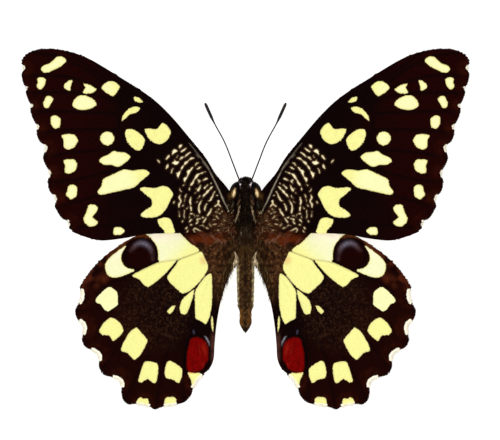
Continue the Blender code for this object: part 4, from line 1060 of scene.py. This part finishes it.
# The abdomen's half width at shares of its length.
ABDOMEN_WIDTH = [
    (0.0, 1.35), (0.04, 1.6), (0.1, 1.74), (0.32, 1.81), (0.5, 1.73), (0.7, 1.63), (0.75, 1.28),
    (0.85, 1.19), (0.89, 1.34), (0.95, 0.92), (1.0, 0.38)]
# Lobes beside the neck and over the wing bases: centre, half lengths and turn.
COLLAR_LOBE = ((2.35, 7.2, 7.45), (0.95, 1.5, 0.95), 0.0)
TEGULA_LOBE = ((2.75, 4.9, 8.8), (0.6, 1.2, 0.36), 0.1)
COLLAR_PATCH = [
    (2.02, 8.5, 0.02), (2.12, 7.95, 0.1), (2.3, 7.4, 0.26), (2.36, 6.95, 0.22), (2.36, 6.6, 0.08)]
BELLY_CREAM = linear("DCCF9C")
WAIST_BROWN = linear("4C341A")
FLANK_BUFF = linear("B4A274")
REAR_ORANGE = linear("5E3812")
BEAD_BUFF = linear("A88A52")
FLECK_BROWN = linear("7A5C38")
TIP_BROWN = linear("1E1208")
LOBE_BLACK = linear("1C110A")
LOBE_BROWN = linear("6E4A1E")
LOBE_GLOW = linear("4A3410")
# Streaks on the back, from above: a line, its half width, its colour and how strong it is.
DORSAL_STREAKS = [
    ([(1.22, 9.08), (1.0, 8.96)], 0.15, HAIR_ROSE, 1.0),
    ([(1.1, 8.5), (1.35, 8.3)], 0.15, linear("705658"), 0.9),
    ([(1.0, 9.65), (1.25, 9.5)], 0.15, linear("54424A"), 0.9),
    ([(1.2, 7.0), (1.3, 6.5)], 0.12, linear("4A3430"), 0.8),
    ([(1.25, 6.0), (1.32, 5.5)], 0.16, linear("704E3A"), 0.9),
    ([(1.15, 5.0), (1.2, 4.3), (1.45, 3.4), (1.8, 2.5), (2.05, 1.9)], 0.11, linear("A68E6C"), 1.0),
    ([(2.4, 6.0), (2.45, 5.0)], 0.1, linear("424436"), 0.8),
    ([(-1.0, 0.3), (1.0, 0.3)], 0.07, HAIR_GREY, 0.6),
    ([(1.5, -1.2), (1.3, -1.9), (0.7, -2.4), (0.2, -2.6)], 0.08, HAIR_GREY * 1.3, 0.8),
    ([(0.9, -0.5), (0.95, -1.0)], 0.1, HAIR_GREY * 2.0, 0.8),
    ([(0.3, -0.2), (0.5, -1.2)], 0.08, HAIR_GREY, 0.5),
]


def ring_mesh(rings, sides):
    """A closed mesh through elliptic rings, each given as y, z, half width and half height."""
    turn = 2 * math.pi * np.arange(sides) / sides
    verts = [np.column_stack([wide * np.cos(turn), np.full(sides, y), z + high * np.sin(turn)])
             for y, z, wide, high in rings]
    ends = [(0.0, rings[0][0], rings[0][1]), (0.0, rings[-1][0], rings[-1][1])]
    verts = np.vstack(verts + [ends])
    i = np.arange(sides)
    j = (i + 1) % sides
    faces = []
    for k in range(len(rings) - 1):
        a, b = k * sides, (k + 1) * sides
        faces += [np.column_stack([a + i, a + j, b + j]), np.column_stack([a + i, b + j, b + i])]
    last = (len(rings) - 1) * sides
    faces.append(np.column_stack([np.full(sides, len(verts) - 2), j, i]))
    faces.append(np.column_stack([np.full(sides, len(verts) - 1), last + i, last + j]))
    return verts, np.vstack(faces)


def lobe(centre, radii, turn, sides=24, rings=14):
    """A right-hand ellipsoid turned about the vertical."""
    angle = np.linspace(0.12, math.pi - 0.12, rings)
    verts, faces = ring_mesh([(math.cos(a), 0.0, math.sin(a), math.sin(a)) for a in angle], sides)
    c, s = math.cos(turn), math.sin(turn)
    return unit(verts) * radii @ np.array([(c, s, 0.0), (-s, c, 0.0), (0.0, 0.0, 1.0)]) + centre, faces


def body_rings():
    """The rings of head, thorax and abdomen, with a groove between the abdomen's segments."""
    rings = [(y, (low + high) / 2, wide, (high - low) / 2) for y, wide, low, high in curve(BODY_RINGS, 0.25)]
    along, wide = np.array(ABDOMEN_WIDTH).T
    for t in np.linspace(0.0, 1.0, ABDOMEN_RINGS):
        groove = ABDOMEN_GROOVE * math.exp(-(((t * ABDOMEN_SEGMENTS + 0.5) % 1.0 - 0.5) / 0.12) ** 2)
        width = float(np.interp(t, along, wide)) - groove
        y = ABDOMEN_FRONT + (ABDOMEN_REAR - ABDOMEN_FRONT) * t
        rings.append((y, BODY_Z - ABDOMEN_SAG * t * t, width, width * 1.02))
    return rings


def corner_normals(verts, faces):
    """The surface's normal at each vertex."""
    corner = verts[faces]
    facing = np.cross(corner[:, 1] - corner[:, 0], corner[:, 2] - corner[:, 0])
    normals = np.zeros_like(verts)
    for k in range(3):
        np.add.at(normals, faces[:, k], facing)
    return unit(normals)


def scatter(verts, faces, count, random):
    """Places spread evenly over a mesh, with the surface's normal at each."""
    a, b, c = verts[faces[:, 0]], verts[faces[:, 1]], verts[faces[:, 2]]
    normal = np.cross(b - a, c - a)
    area = np.linalg.norm(normal, axis=1)
    pick = random.choice(len(faces), count, p=area / area.sum())
    u, v = random.uniform(0, 1, (2, count, 1))
    over = u + v > 1
    u, v = np.where(over, 1 - u, u), np.where(over, 1 - v, v)
    return a[pick] + (b - a)[pick] * u + (c - a)[pick] * v, normal[pick] / area[pick][:, None]


def paint_back(p, normals):
    """The upper side of the body: black and brown hair, with streaks, flecks and pale flanks."""
    x, y = np.abs(p[:, 0]), p[:, 1]
    flat = np.column_stack([x, y])
    rear = y < ABDOMEN_FRONT
    brown = np.maximum(ease(-y, -2.5, 3.0), 0.25 * ease(x, 1.5, 2.5) * ease(-y, -6.5, -4.5))
    colour = blend(HAIR_BLACK, HAIR_BROWN, brown)
    for line, half, tone, strength in DORSAL_STREAKS:
        on = 1 - ease(gap(flat, curve(line, 0.4)) / half + 0.6 * mottle(p, 0.3, 31), 0.6, 1.3)
        colour = blend(colour, tone, on * strength * ease(normals[:, 2], -0.1, 0.3))
    colour = blend(colour, WAIST_BROWN, 0.7 * ease(-y, 1.8, 3.0) * ease(y, -6.5, -4.5))
    segment = (y - ABDOMEN_FRONT) / (ABDOMEN_REAR - ABDOMEN_FRONT) * ABDOMEN_SEGMENTS
    joint = np.abs((segment + 0.5) % 1.0 - 0.5)
    flank = ease(x + 0.15 * mottle(p, 0.4, 33), 1.2, 1.5) * ease(-y, 4.5, 7.0) * ease(y, -16.5, -14.5)
    colour = blend(colour, FLANK_BUFF, np.where(rear, flank * (0.45 + 0.4 * ease(joint, 0.2, 0.45)), 0.0))
    orange = ease(x + 0.2 * mottle(p, 0.6, 35), 0.1, 0.9) * ease(-y, 15.6, 16.4) * ease(y, -19.8, -18.8)
    colour = blend(colour, REAR_ORANGE, np.where(rear, orange * 0.85, 0.0))
    bead = far(flat, ABDOMEN_BEAD, 0.7)
    colour = blend(colour, BEAD_BUFF, np.where(rear, (1 - ease(bead, 0.15, 0.4)) * 0.8, 0.0))
    fleck = ease(mottle(p, 0.19, 34), 0.2, 0.8)
    colour = blend(colour, FLECK_BROWN, fleck * np.where(rear, 0.55, 0.12))
    colour = blend(colour, HAIR_BLACK, ease(mottle(p, 0.23, 38), 0.1, 0.8) * np.where(rear, 0.6, 0.2))
    middle = (1 - ease(x, 0.05, 0.35)) * ease(mottle(p, 0.7, 36), -0.7, 0.2) * 0.8
    colour = blend(colour, HAIR_BLACK, np.where(rear, middle, 0.0))
    return blend(colour, TIP_BROWN, ease(-y + 0.3 * mottle(p, 0.5, 44), 19.4, 20.0))


def paint_body(p, normals):
    """The body's colour: the back above, and a cream belly with dark stripes below."""
    side = ease(-normals[:, 2] + 0.14 * mottle(p, 0.5, 32), 0.25, 0.5)
    stripe = np.minimum(np.abs(normals[:, 2] + 0.62), np.abs(np.abs(normals[:, 0]) - 0.12))
    under = blend(BELLY_CREAM, HAIR_BLACK, 1 - ease(stripe, 0.05, 0.13))
    back = paint_back(p, normals)
    return np.where((side > 0)[:, None], blend(back, under, side), back)


def paint_lobed_body(p, normals):
    """The body's colour, with cream collar lobes and black wing-base lobes."""
    x, y = np.abs(p[:, 0]), p[:, 1]
    deep = chains(np.column_stack([x, y]), [COLLAR_PATCH]) + 0.05 * mottle(p, 0.3, 37)
    patch = blend(LOBE_BROWN, HAIR_CREAM, ease(deep, -0.05, 0.12))
    lobed = (x > 1.75) & (y > 5.6)
    colour = np.where(lobed[:, None], LOBE_BLACK, paint_body(p, normals))
    glow = ease(deep, -0.9, -0.2) * ease(x, 2.1, 2.6) * ease(y, 6.0, 6.5) * ease(-y, -8.2, -7.2)
    colour = blend(colour, LOBE_GLOW, lobed * glow)
    return blend(colour, patch, np.where(lobed & (normals[:, 2] > 0), ease(deep, -0.14, -0.02), 0.0))


def body_lie(p, random):
    """Hair lies to the rear and outwards, and forwards and inwards on the face."""
    x, y = p[:, 0], p[:, 1]
    front = ease(y, 8.7, 9.6)
    waist = ease(y, -7.0, -4.5) * ease(-y, 1.5, 3.5)
    sideways = x * (0.16 + 0.45 * waist - 0.8 * ease(y, 9.3, 9.9))
    lie = np.column_stack([sideways, front * 2 - 1, -0.35 * front])
    return lie + random.normal(0, 0.2, lie.shape)


def body_uv(p):
    """The body unrolled: round it across the map and along it up the map."""
    turn = np.arctan2(p[:, 2] - BODY_Z, p[:, 0]) / (2 * math.pi) + 0.5
    return np.column_stack([0.02 + 0.96 * turn, 0.02 + 0.96 * (p[:, 1] - BODY_REAR) / BODY_LENGTH])


def body_hair_length(p):
    """Short on the head, long on the thorax and at the front of the abdomen, and scale-like behind."""
    y = p[:, 1]
    front = 0.42 + 0.5 * ease(-y, -7.4, -6.0) + 0.9 * ease(-y, 0.5, 3.0) + 0.2 * ease(y, 9.2, 9.8)
    rear = 0.36 + 0.9 * ease(y, -7.0, -4.0) + 0.3 * ease(-y, 19.5, 20.3)
    return np.where(y < ABDOMEN_FRONT, rear, front)


def body_hair_lift(p):
    """The hair stands up most on the face."""
    return 0.3 + 0.6 * ease(p[:, 1], 9.4, 9.9)


def coat(verts, faces, count, lie_at, length_at, width, lift_at, bend, colour_at, uv_at, seed, sink=0.06):
    """Tapered locks spread over a mesh."""
    random = np.random.default_rng(seed)
    places, normals = scatter(verts, faces, count, random)
    lies = lie_at(places, random)
    lies = lies - normals * np.sum(lies * normals, axis=1)[:, None]
    lies /= np.maximum(np.linalg.norm(lies, axis=1), 1e-6)[:, None]
    lengths = length_at(places) * random.uniform(0.7, 1.2, count)
    out, tris = locks(places - normals * sink, normals, lies, lengths, width, lift_at(places), bend)
    colour = np.clip(colour_at(places, normals) * random.uniform(0.5, 1.5, (count, 1)), 0, 1)
    colour = np.repeat(colour, len(LOCK_SHAPE), axis=0)
    return out, tris, {"ground": colour}, patch_uv(uv_at(places), LOCK_SHAPE)


# Head parts and legs.
EYE_PLACE = (1.8, 8.3, 6.55)
EYE_RADII = (1.11, 1.56, 1.46)
EYE_TURN = math.radians(43)
EYE_FACET = linear("0C0504")
EYE_NET = linear("040202")
FEELER_ROUTE = [
    (0.7, 9.2, 6.9), (1.3, 10.1, 7.8), (2.5, 13.2, 8.5), (4.2, 17.5, 8.9), (6.3, 21.4, 9.2),
    (8.1, 25.3, 9.5)]
FEELER_RADIUS = 0.145
FEELER_SIDES = 12
# The feeler's club, back from its tip: where it begins, where it is full, and where it rounds off.
CLUB_RADIUS = 0.33
CLUB_BEGIN = 4.9
CLUB_FULL = 2.6
CLUB_ROUND = 0.55
CLUB_BROWN = linear("140705")
FEELER_JOINT = 0.36
PALP_ROUTE = [(0.85, 9.3, 4.9), (0.9, 9.85, 5.1), (0.92, 10.05, 5.6), (0.85, 9.95, 6.2)]
PALP_RADIUS = 0.27
PALP_HAIRS = 700
PALP_HAIR_LENGTH = 0.36
PALP_HAIR_WIDTH = 0.07
PALP_HAIR_LIFT = 0.3
COIL_CENTRE = (0.0, 9.0, 3.65)
COIL_START = math.radians(60)
COIL_TURNS = 2.6
COIL_REACH = 1.05
COIL_NARROWING = 0.72
COIL_STEPS = 240
TONGUE_RADII = (0.17, 0.07)
TONGUE_ROOT = [(0.0, 9.2, 5.4), (0.0, 9.45, 5.0)]
TONGUE_BROWN = linear("3A2012")
# Each leg's hip, base of the femur, knee, ankle and toe.
LEG_JOINTS = {
    "foreleg": [(1.0, 4.9, 4.6), (2.3, 5.7, 3.1), (5.7, 8.2, 4.9), (8.3, 10.1, 0.35), (10.8, 11.9, 0.2)],
    "midleg": [(1.3, 2.3, 4.4), (2.9, 2.2, 2.9), (7.0, 2.0, 4.9), (10.4, 1.2, 0.35), (13.6, 0.8, 0.2)],
    "hindleg": [(1.2, -0.3, 4.6), (2.4, -0.9, 3.3), (5.2, -4.0, 4.9), (7.4, -7.0, 0.35), (9.4, -9.6, 0.2)],
}
COXA_RADII = (0.6, 0.52, 0.3)
FEMUR_RADIUS = 0.31
TIBIA_RADII = (0.25, 0.17)
SPUR_RADII = (0.07, 0.06, 0.015)
CLAW_RADII = (0.07, 0.055, 0.012)
# Where the five tarsal joints part, as shares of the foot's length, and the radii along each of them.
TARSAL_SHARES = (0.0, 0.42, 0.6, 0.74, 0.86, 1.0)
TARSAL_RADII = (0.12, 0.15, 0.155, 0.175, 0.13)
LEG_BROWN = linear("1A0F0A")
LEG_BUFF = linear("C9B98C")


def feeler():
    """The right feeler: a jointed thread that ends in a club."""
    route = curve(FEELER_ROUTE, 0.06)
    run = np.concatenate([[0.0], np.cumsum(np.linalg.norm(np.diff(route, axis=0), axis=1))])
    end = run[-1]
    club = ease(run, end - CLUB_BEGIN, end - CLUB_FULL) * (1 - 0.75 * ease(run, end - CLUB_ROUND, end))
    radii = FEELER_RADIUS + (CLUB_RADIUS - FEELER_RADIUS) * club
    ringed = 1 - 0.16 * np.exp(-(((run / FEELER_JOINT) % 1.0 - 0.5) / 0.12) ** 2)
    verts, faces = tube(route, radii * ringed, FEELER_SIDES)
    tip = np.concatenate([np.repeat(run, FEELER_SIDES), [0.0, end]]) / end
    return verts, faces, {"ground": blend(HAIR_BLACK, CLUB_BROWN, ease(tip, 0.8, 0.95))}, None


def palp_colour(p, normals):
    """Cream below and inside, black outside and at the tip."""
    return np.where(((p[:, 2] > 5.75) | (p[:, 0] > 1.02))[:, None], HAIR_BLACK, BELLY_CREAM)


def palp_lie(p, random):
    """Upwards, and a little forwards and outwards."""
    return np.column_stack([random.normal(0.1, 0.2, len(p)), np.full(len(p), 0.25), np.ones(len(p))])


def palp_hair_length(p):
    return np.full(len(p), PALP_HAIR_LENGTH)


def palp_hair_lift(p):
    return np.full(len(p), PALP_HAIR_LIFT)


def palp_uv(p):
    """The palp seen from the side, fitted to the bake map."""
    return 0.1 + 0.8 * (p[:, 1:] - (9.0, 4.4)) / 2.2


def proboscis():
    """The tongue: a root that runs into a narrowing coil."""
    turn = COIL_START - np.linspace(0, COIL_TURNS * 2 * math.pi, COIL_STEPS)
    reach = COIL_REACH * (1 - COIL_NARROWING * np.linspace(0, 1, COIL_STEPS))
    coil = np.column_stack([
        np.zeros(COIL_STEPS), COIL_CENTRE[1] + reach * np.cos(turn), COIL_CENTRE[2] + reach * np.sin(turn)])
    route = np.vstack([curve([*TONGUE_ROOT, tuple(coil[0])], 0.06)[:-1], coil])
    radii = np.linspace(*TONGUE_RADII, len(route)) * (1 + 0.06 * np.cos(np.arange(len(route)) * 2.1))
    verts, faces = tube(route, radii, 12)
    return verts, faces, {"ground": np.tile(TONGUE_BROWN, (len(verts), 1))}, None


def leg(joints):
    """One right leg: coxa, femur, tibia with its two spurs, five tarsal joints and two claws."""
    hip, femur, knee, ankle, toe = [np.array(j) for j in joints]
    tibia = curve([knee, knee * 0.6 + ankle * 0.4, ankle + (0, 0, 0.02)], 0.3)
    shapes = [
        tube([hip, hip * 0.5 + femur * 0.5, femur], COXA_RADII, 14),
        tube(curve([femur, femur * 0.5 + knee * 0.5 + (0, 0, 0.1), knee], 0.4), FEMUR_RADIUS, 14),
        tube(tibia, np.linspace(*TIBIA_RADII, len(tibia)), 12),
    ]
    along = (toe - ankle) / np.linalg.norm(toe - ankle)
    across = np.cross(along, (0.0, 0.0, -1.0))
    for side in (-1, 1):
        spur = [ankle + (0, 0, 0.05), ankle + along * 0.3 + across * side * 0.15,
                ankle + along * 0.62 + across * side * 0.24 - (0, 0, 0.05)]
        claw = [toe, toe + along * 0.22 + across * side * 0.12 + (0, 0, 0.02),
                toe + along * 0.34 + across * side * 0.16 - (0, 0, 0.14)]
        shapes += [tube(spur, SPUR_RADII, 8), tube(claw, CLAW_RADII, 8)]
    places = [ankle + (toe - ankle) * share for share in TARSAL_SHARES]
    for start, end in zip(places, places[1:]):
        middle = (start + end) / 2
        bead = [start, start + (middle - start) * 0.4, middle, end + (middle - end) * 0.3, end]
        shapes.append(tube(bead, TARSAL_RADII, 12))
    verts, faces, owner = join(shapes)
    verts[:, 2] = np.maximum(verts[:, 2], 0.005)
    pale = np.where(owner < 2, 0.55, np.where(owner < 3, 0.2, 0.0))
    pale = pale * ease(-mottle(verts, 0.5, 41), -0.2, 0.4)
    return verts, faces, {"ground": blend(LEG_BROWN, LEG_BUFF, pale)}, None


# Materials. Sizes of grain are in millimetres.
def material(name, roughness, specular, **sockets):
    """A principled shader with the given sockets, and its node tree."""
    made = bpy.data.materials.new(name)
    made.use_nodes = True
    tree = made.node_tree
    tree.nodes.clear()
    named = {key.replace("_", " "): value for key, value in sockets.items()}
    shader = add(tree, "ShaderNodeBsdfPrincipled", {
        "Roughness": roughness, "Specular IOR Level": specular, **named})
    add(tree, "ShaderNodeOutputMaterial", {"Surface": shader.outputs["BSDF"]})
    return made, tree, shader


def scaled_wing(grain_size=0.12):
    """Scaled wing chitin, grown: pigment powder on thin blades.

    It is matt and soft, and black where light is lost between the ridges of the scales.
    """
    made, tree, shader = material("scaled_wing_chitin", 0.75, 0.015)
    place = add(tree, "ShaderNodeTexCoord").outputs["Object"]
    noise = add(tree, "ShaderNodeTexNoise", {"Vector": place, "Scale": 1 / (grain_size * MM), "Detail": 2.0})
    ragged = add(tree, "ShaderNodeMath", {0: noise.outputs["Fac"], 1: 0.16}, operation="MULTIPLY")
    deep = add(tree, "ShaderNodeAttribute", attribute_name="cream")
    total = add(tree, "ShaderNodeMath", {0: deep.outputs["Fac"], 1: ragged.outputs[0]}, operation="ADD")
    step = add(tree, "ShaderNodeMapRange", {
        "Value": total.outputs[0], "From Min": 0.02, "From Max": 0.16}, interpolation_type="SMOOTHSTEP")
    ground = add(tree, "ShaderNodeAttribute", attribute_name="ground")
    pale = add(tree, "ShaderNodeAttribute", attribute_name="pale")
    mixed = add(tree, "ShaderNodeMix", {
        0: step.outputs["Result"], 6: ground.outputs["Color"], 7: pale.outputs["Color"]}, data_type="RGBA")
    bump = add(tree, "ShaderNodeBump", {
        "Height": noise.outputs["Fac"], "Strength": 0.35, "Distance": 0.03 * MM})
    tree.links.new(mixed.outputs[2], shader.inputs["Base Color"])
    tree.links.new(bump.outputs[0], shader.inputs["Normal"])
    return made


def coloured(name, roughness, specular, grain_size, grain_depth):
    """A material that takes its colour from the vertices, with a fine bump of the given grain."""
    made, tree, shader = material(name, roughness, specular)
    ground = add(tree, "ShaderNodeAttribute", attribute_name="ground")
    place = add(tree, "ShaderNodeTexCoord").outputs["Object"]
    noise = add(tree, "ShaderNodeTexNoise", {"Vector": place, "Scale": 1 / (grain_size * MM), "Detail": 3.0})
    bump = add(tree, "ShaderNodeBump", {
        "Height": noise.outputs["Fac"], "Strength": 0.5, "Distance": grain_depth * MM})
    tree.links.new(ground.outputs["Color"], shader.inputs["Base Color"])
    tree.links.new(bump.outputs[0], shader.inputs["Normal"])
    return made


def compound_eye(facet=0.09):
    """Compound eye: a hard clear cornea over dark pigment, glossy, with a hexagonal net of facets.

    The real facets are about 0.025 mm across; these are drawn at 0.09 mm, so that they show.
    """
    made, tree, shader = material("faceted_cornea", 0.3, 0.015, Coat_Weight=0.02, Coat_Roughness=0.12)
    place = add(tree, "ShaderNodeTexCoord").outputs["Object"]
    cells = add(tree, "ShaderNodeTexVoronoi", {
        "Vector": place, "Scale": 1 / (facet * MM), "Randomness": 0.25})
    colour = add(tree, "ShaderNodeMapRange", {
        "Vector": cells.outputs["Distance"], "From Min": [0.0] * 3, "From Max": [0.7] * 3,
        "To Min": list(EYE_FACET), "To Max": list(EYE_NET)}, data_type="FLOAT_VECTOR")
    dome = add(tree, "ShaderNodeMath", {0: 1.0, 1: cells.outputs["Distance"]}, operation="SUBTRACT")
    bump = add(tree, "ShaderNodeBump", {
        "Height": dome.outputs[0], "Strength": 0.6, "Distance": 0.03 * MM})
    tree.links.new(colour.outputs["Vector"], shader.inputs["Base Color"])
    tree.links.new(bump.outputs[0], shader.inputs["Normal"])
    return made


WING_SCALES = scaled_wing()
# Hair scales on the body: matt at the tips with a little silk along each one.
HAIR = coloured("body_hair_scales", 0.7, 0.02, 0.08, 0.02)
# Hard cuticle of feelers, legs and tongue: a waxy surface with a low gloss.
CUTICLE = coloured("waxy_cuticle", 0.45, 0.15, 0.05, 0.012)
EYE = compound_eye()

# Building the butterfly. A wing's scales lie in rows about its hub, the last value of each wing.
WINGS = {
    "forewing": right_wing(FOREWING_EDGE, FOREWING_VEINS, 0.0, paint_forewing, FOREWING_NOTCHES,
                           np.array((-1.0, 1.5))),
    "hindwing": right_wing(HINDWING_EDGE, HINDWING_VEINS, WING_DROP, paint_hindwing, HINDWING_NOTCHES,
                           np.array((0.0, 0.5))),
}
for title, wing in WINGS.items():
    skin = wing_skin(wing)
    upper = wing_scales(wing, 1, UPPER_SCALE_ROWS, SEED)
    lower = wing_scales(wing, -1, LOWER_SCALE_ROWS, SEED + 1)
    fringe = wing_fringe(wing, SEED + 2)
    for name, side in SIDES.items():
        piece(f"{title}_membrane_{name}", skin, WING_SCALES, [f"{title}_{name}"], side)
        piece(f"{title}_scales_upper_{name}", upper, WING_SCALES, side=side, smooth=False)
        piece(f"{title}_scales_lower_{name}", lower, WING_SCALES, side=side, smooth=False)
        piece(f"{title}_fringe_{name}", fringe, HAIR, side=side)

# Each coat's area is its lowest and highest corner, before its density, lie, length, colour and count.
WING_COATS = {
    "forewing_base_hair": (
        ((1.0, -2.0), (7.0, 4.0)), base_density, base_lie, 1.1, base_tint, 1000, SEED + 3),
    "hindwing_inner_hair": (
        ((2.0, -18.0), (7.0, 1.0)), margin_density, margin_lie, 1.3, margin_tint, 7500, SEED + 4),
    "hindwing_waist_hair": (
        ((2.0, -7.5), (3.5, -2.5)), waist_density, waist_lie, 1.05, waist_tint, 2600, SEED + 8),
    "hindwing_waist_tuft": (
        ((2.0, -7.6), (2.9, -3.6)), tuft_density, tuft_lie, 1.8, tuft_tint, 900, SEED + 9, 0.5),
}
wing_coats = {title: wing_hair(WINGS[title.split("_")[0]], *growth) for title, growth in WING_COATS.items()}
for name, side in SIDES.items():
    for title, hair in wing_coats.items():
        piece(f"{title}_{name}", hair, HAIR, side=side)

lobes = [mirror(*lobe(*form), side) for form in (COLLAR_LOBE, TEGULA_LOBE) for side in SIDES.values()]
verts, faces, _ = join([ring_mesh(body_rings(), BODY_SIDES), *lobes])
body_skin = (verts, faces, {"ground": paint_lobed_body(verts, corner_normals(verts, faces))}, None)
piece("body_skin", body_skin, HAIR, ["head", "thorax", "abdomen"])
body_coat = coat(verts, faces, BODY_HAIRS, body_lie, body_hair_length, BODY_HAIR_WIDTH, body_hair_lift,
                 0.24, paint_lobed_body, body_uv, SEED + 5)
piece("body_hair", body_coat, HAIR)

eye = (*lobe(EYE_PLACE, EYE_RADII, EYE_TURN, 48, 32), {}, None)
feeler_thread = feeler()
palp = tube(curve(PALP_ROUTE, 0.1), PALP_RADIUS, 14)
palp_skin = (*palp, {"ground": palp_colour(palp[0], None)}, None)
palp_coat = coat(*palp, PALP_HAIRS, palp_lie, palp_hair_length, PALP_HAIR_WIDTH, palp_hair_lift,
                 0.15, palp_colour, palp_uv, SEED + 6)
legs = {title: leg(joints) for title, joints in LEG_JOINTS.items()}
for name, side in SIDES.items():
    piece(f"eye_cornea_{name}", eye, EYE, [f"eye_{name}"], side)
    piece(f"feeler_{name}", feeler_thread, CUTICLE, [f"antenna_{name}"], side)
    piece(f"palp_skin_{name}", palp_skin, HAIR, [f"palp_{name}"], side)
    piece(f"palp_hair_{name}", palp_coat, HAIR, side=side)
    for title, limb in legs.items():
        piece(f"{title}_cuticle_{name}", limb, CUTICLE, [f"{title}_{name}"], side)
piece("tongue_coil", proboscis(), CUTICLE, ["proboscis"])

# Floor, light and camera. The floor's half width is in metres.
FLOOR_HALF = 1.5
FLOOR_GREY = (0.35, 0.35, 0.35, 1.0)
WHITE = (1.0, 1.0, 1.0, 1.0)
FLOOR_GLOW = 0.8
ROOM_LIGHT = 0.85
SOFTBOX_LIGHT = 1.6
SOFTBOX_SPREAD = math.radians(40)
SOFTBOX_TILT = (math.radians(8), math.radians(-10), 0.0)
SIGHT_CENTRE = (0.9, 1.9)
FRAME_WIDTH = 100.0
LENS = 200.0
SENSOR = 36.0
WING_LEVEL = 9.3

# Opal glass, ground matt and lit from below: an even white that leaves hardly a shadow.
glass, _, _ = material("opal_glass", 1.0, 0.0, Base_Color=FLOOR_GREY, Emission_Color=WHITE,
                       Emission_Strength=FLOOR_GLOW)
mesh = bpy.data.meshes.new("floor")
corners = [(-1, -1), (1, -1), (1, 1), (-1, 1)]
mesh.from_pydata([(x * FLOOR_HALF, y * FLOOR_HALF, 0.0) for x, y in corners], [], [(0, 1, 2, 3)])
mesh.materials.append(glass)
floor = bpy.data.objects.new("floor", mesh)
bpy.context.scene.collection.objects.link(floor)

world = bpy.data.worlds.new("soft_room")
world.use_nodes = True
world.node_tree.nodes["Background"].inputs["Color"].default_value = WHITE
world.node_tree.nodes["Background"].inputs["Strength"].default_value = ROOM_LIGHT
bpy.context.scene.world = world
sun = bpy.data.lights.new("softbox", "SUN")
sun.energy = SOFTBOX_LIGHT
sun.angle = SOFTBOX_SPREAD
lamp = bpy.data.objects.new("softbox", sun)
lamp.rotation_euler = SOFTBOX_TILT
bpy.context.scene.collection.objects.link(lamp)

lens = bpy.data.cameras.new("camera")
lens.lens = LENS
lens.sensor_width = SENSOR
camera = bpy.data.objects.new("camera", lens)
distance = FRAME_WIDTH * LENS / SENSOR
camera.location = (SIGHT_CENTRE[0] * MM, SIGHT_CENTRE[1] * MM, (WING_LEVEL + distance) * MM)
bpy.context.scene.collection.objects.link(camera)
bpy.context.scene.camera = camera
bpy.context.scene.view_settings.view_transform = "Standard"
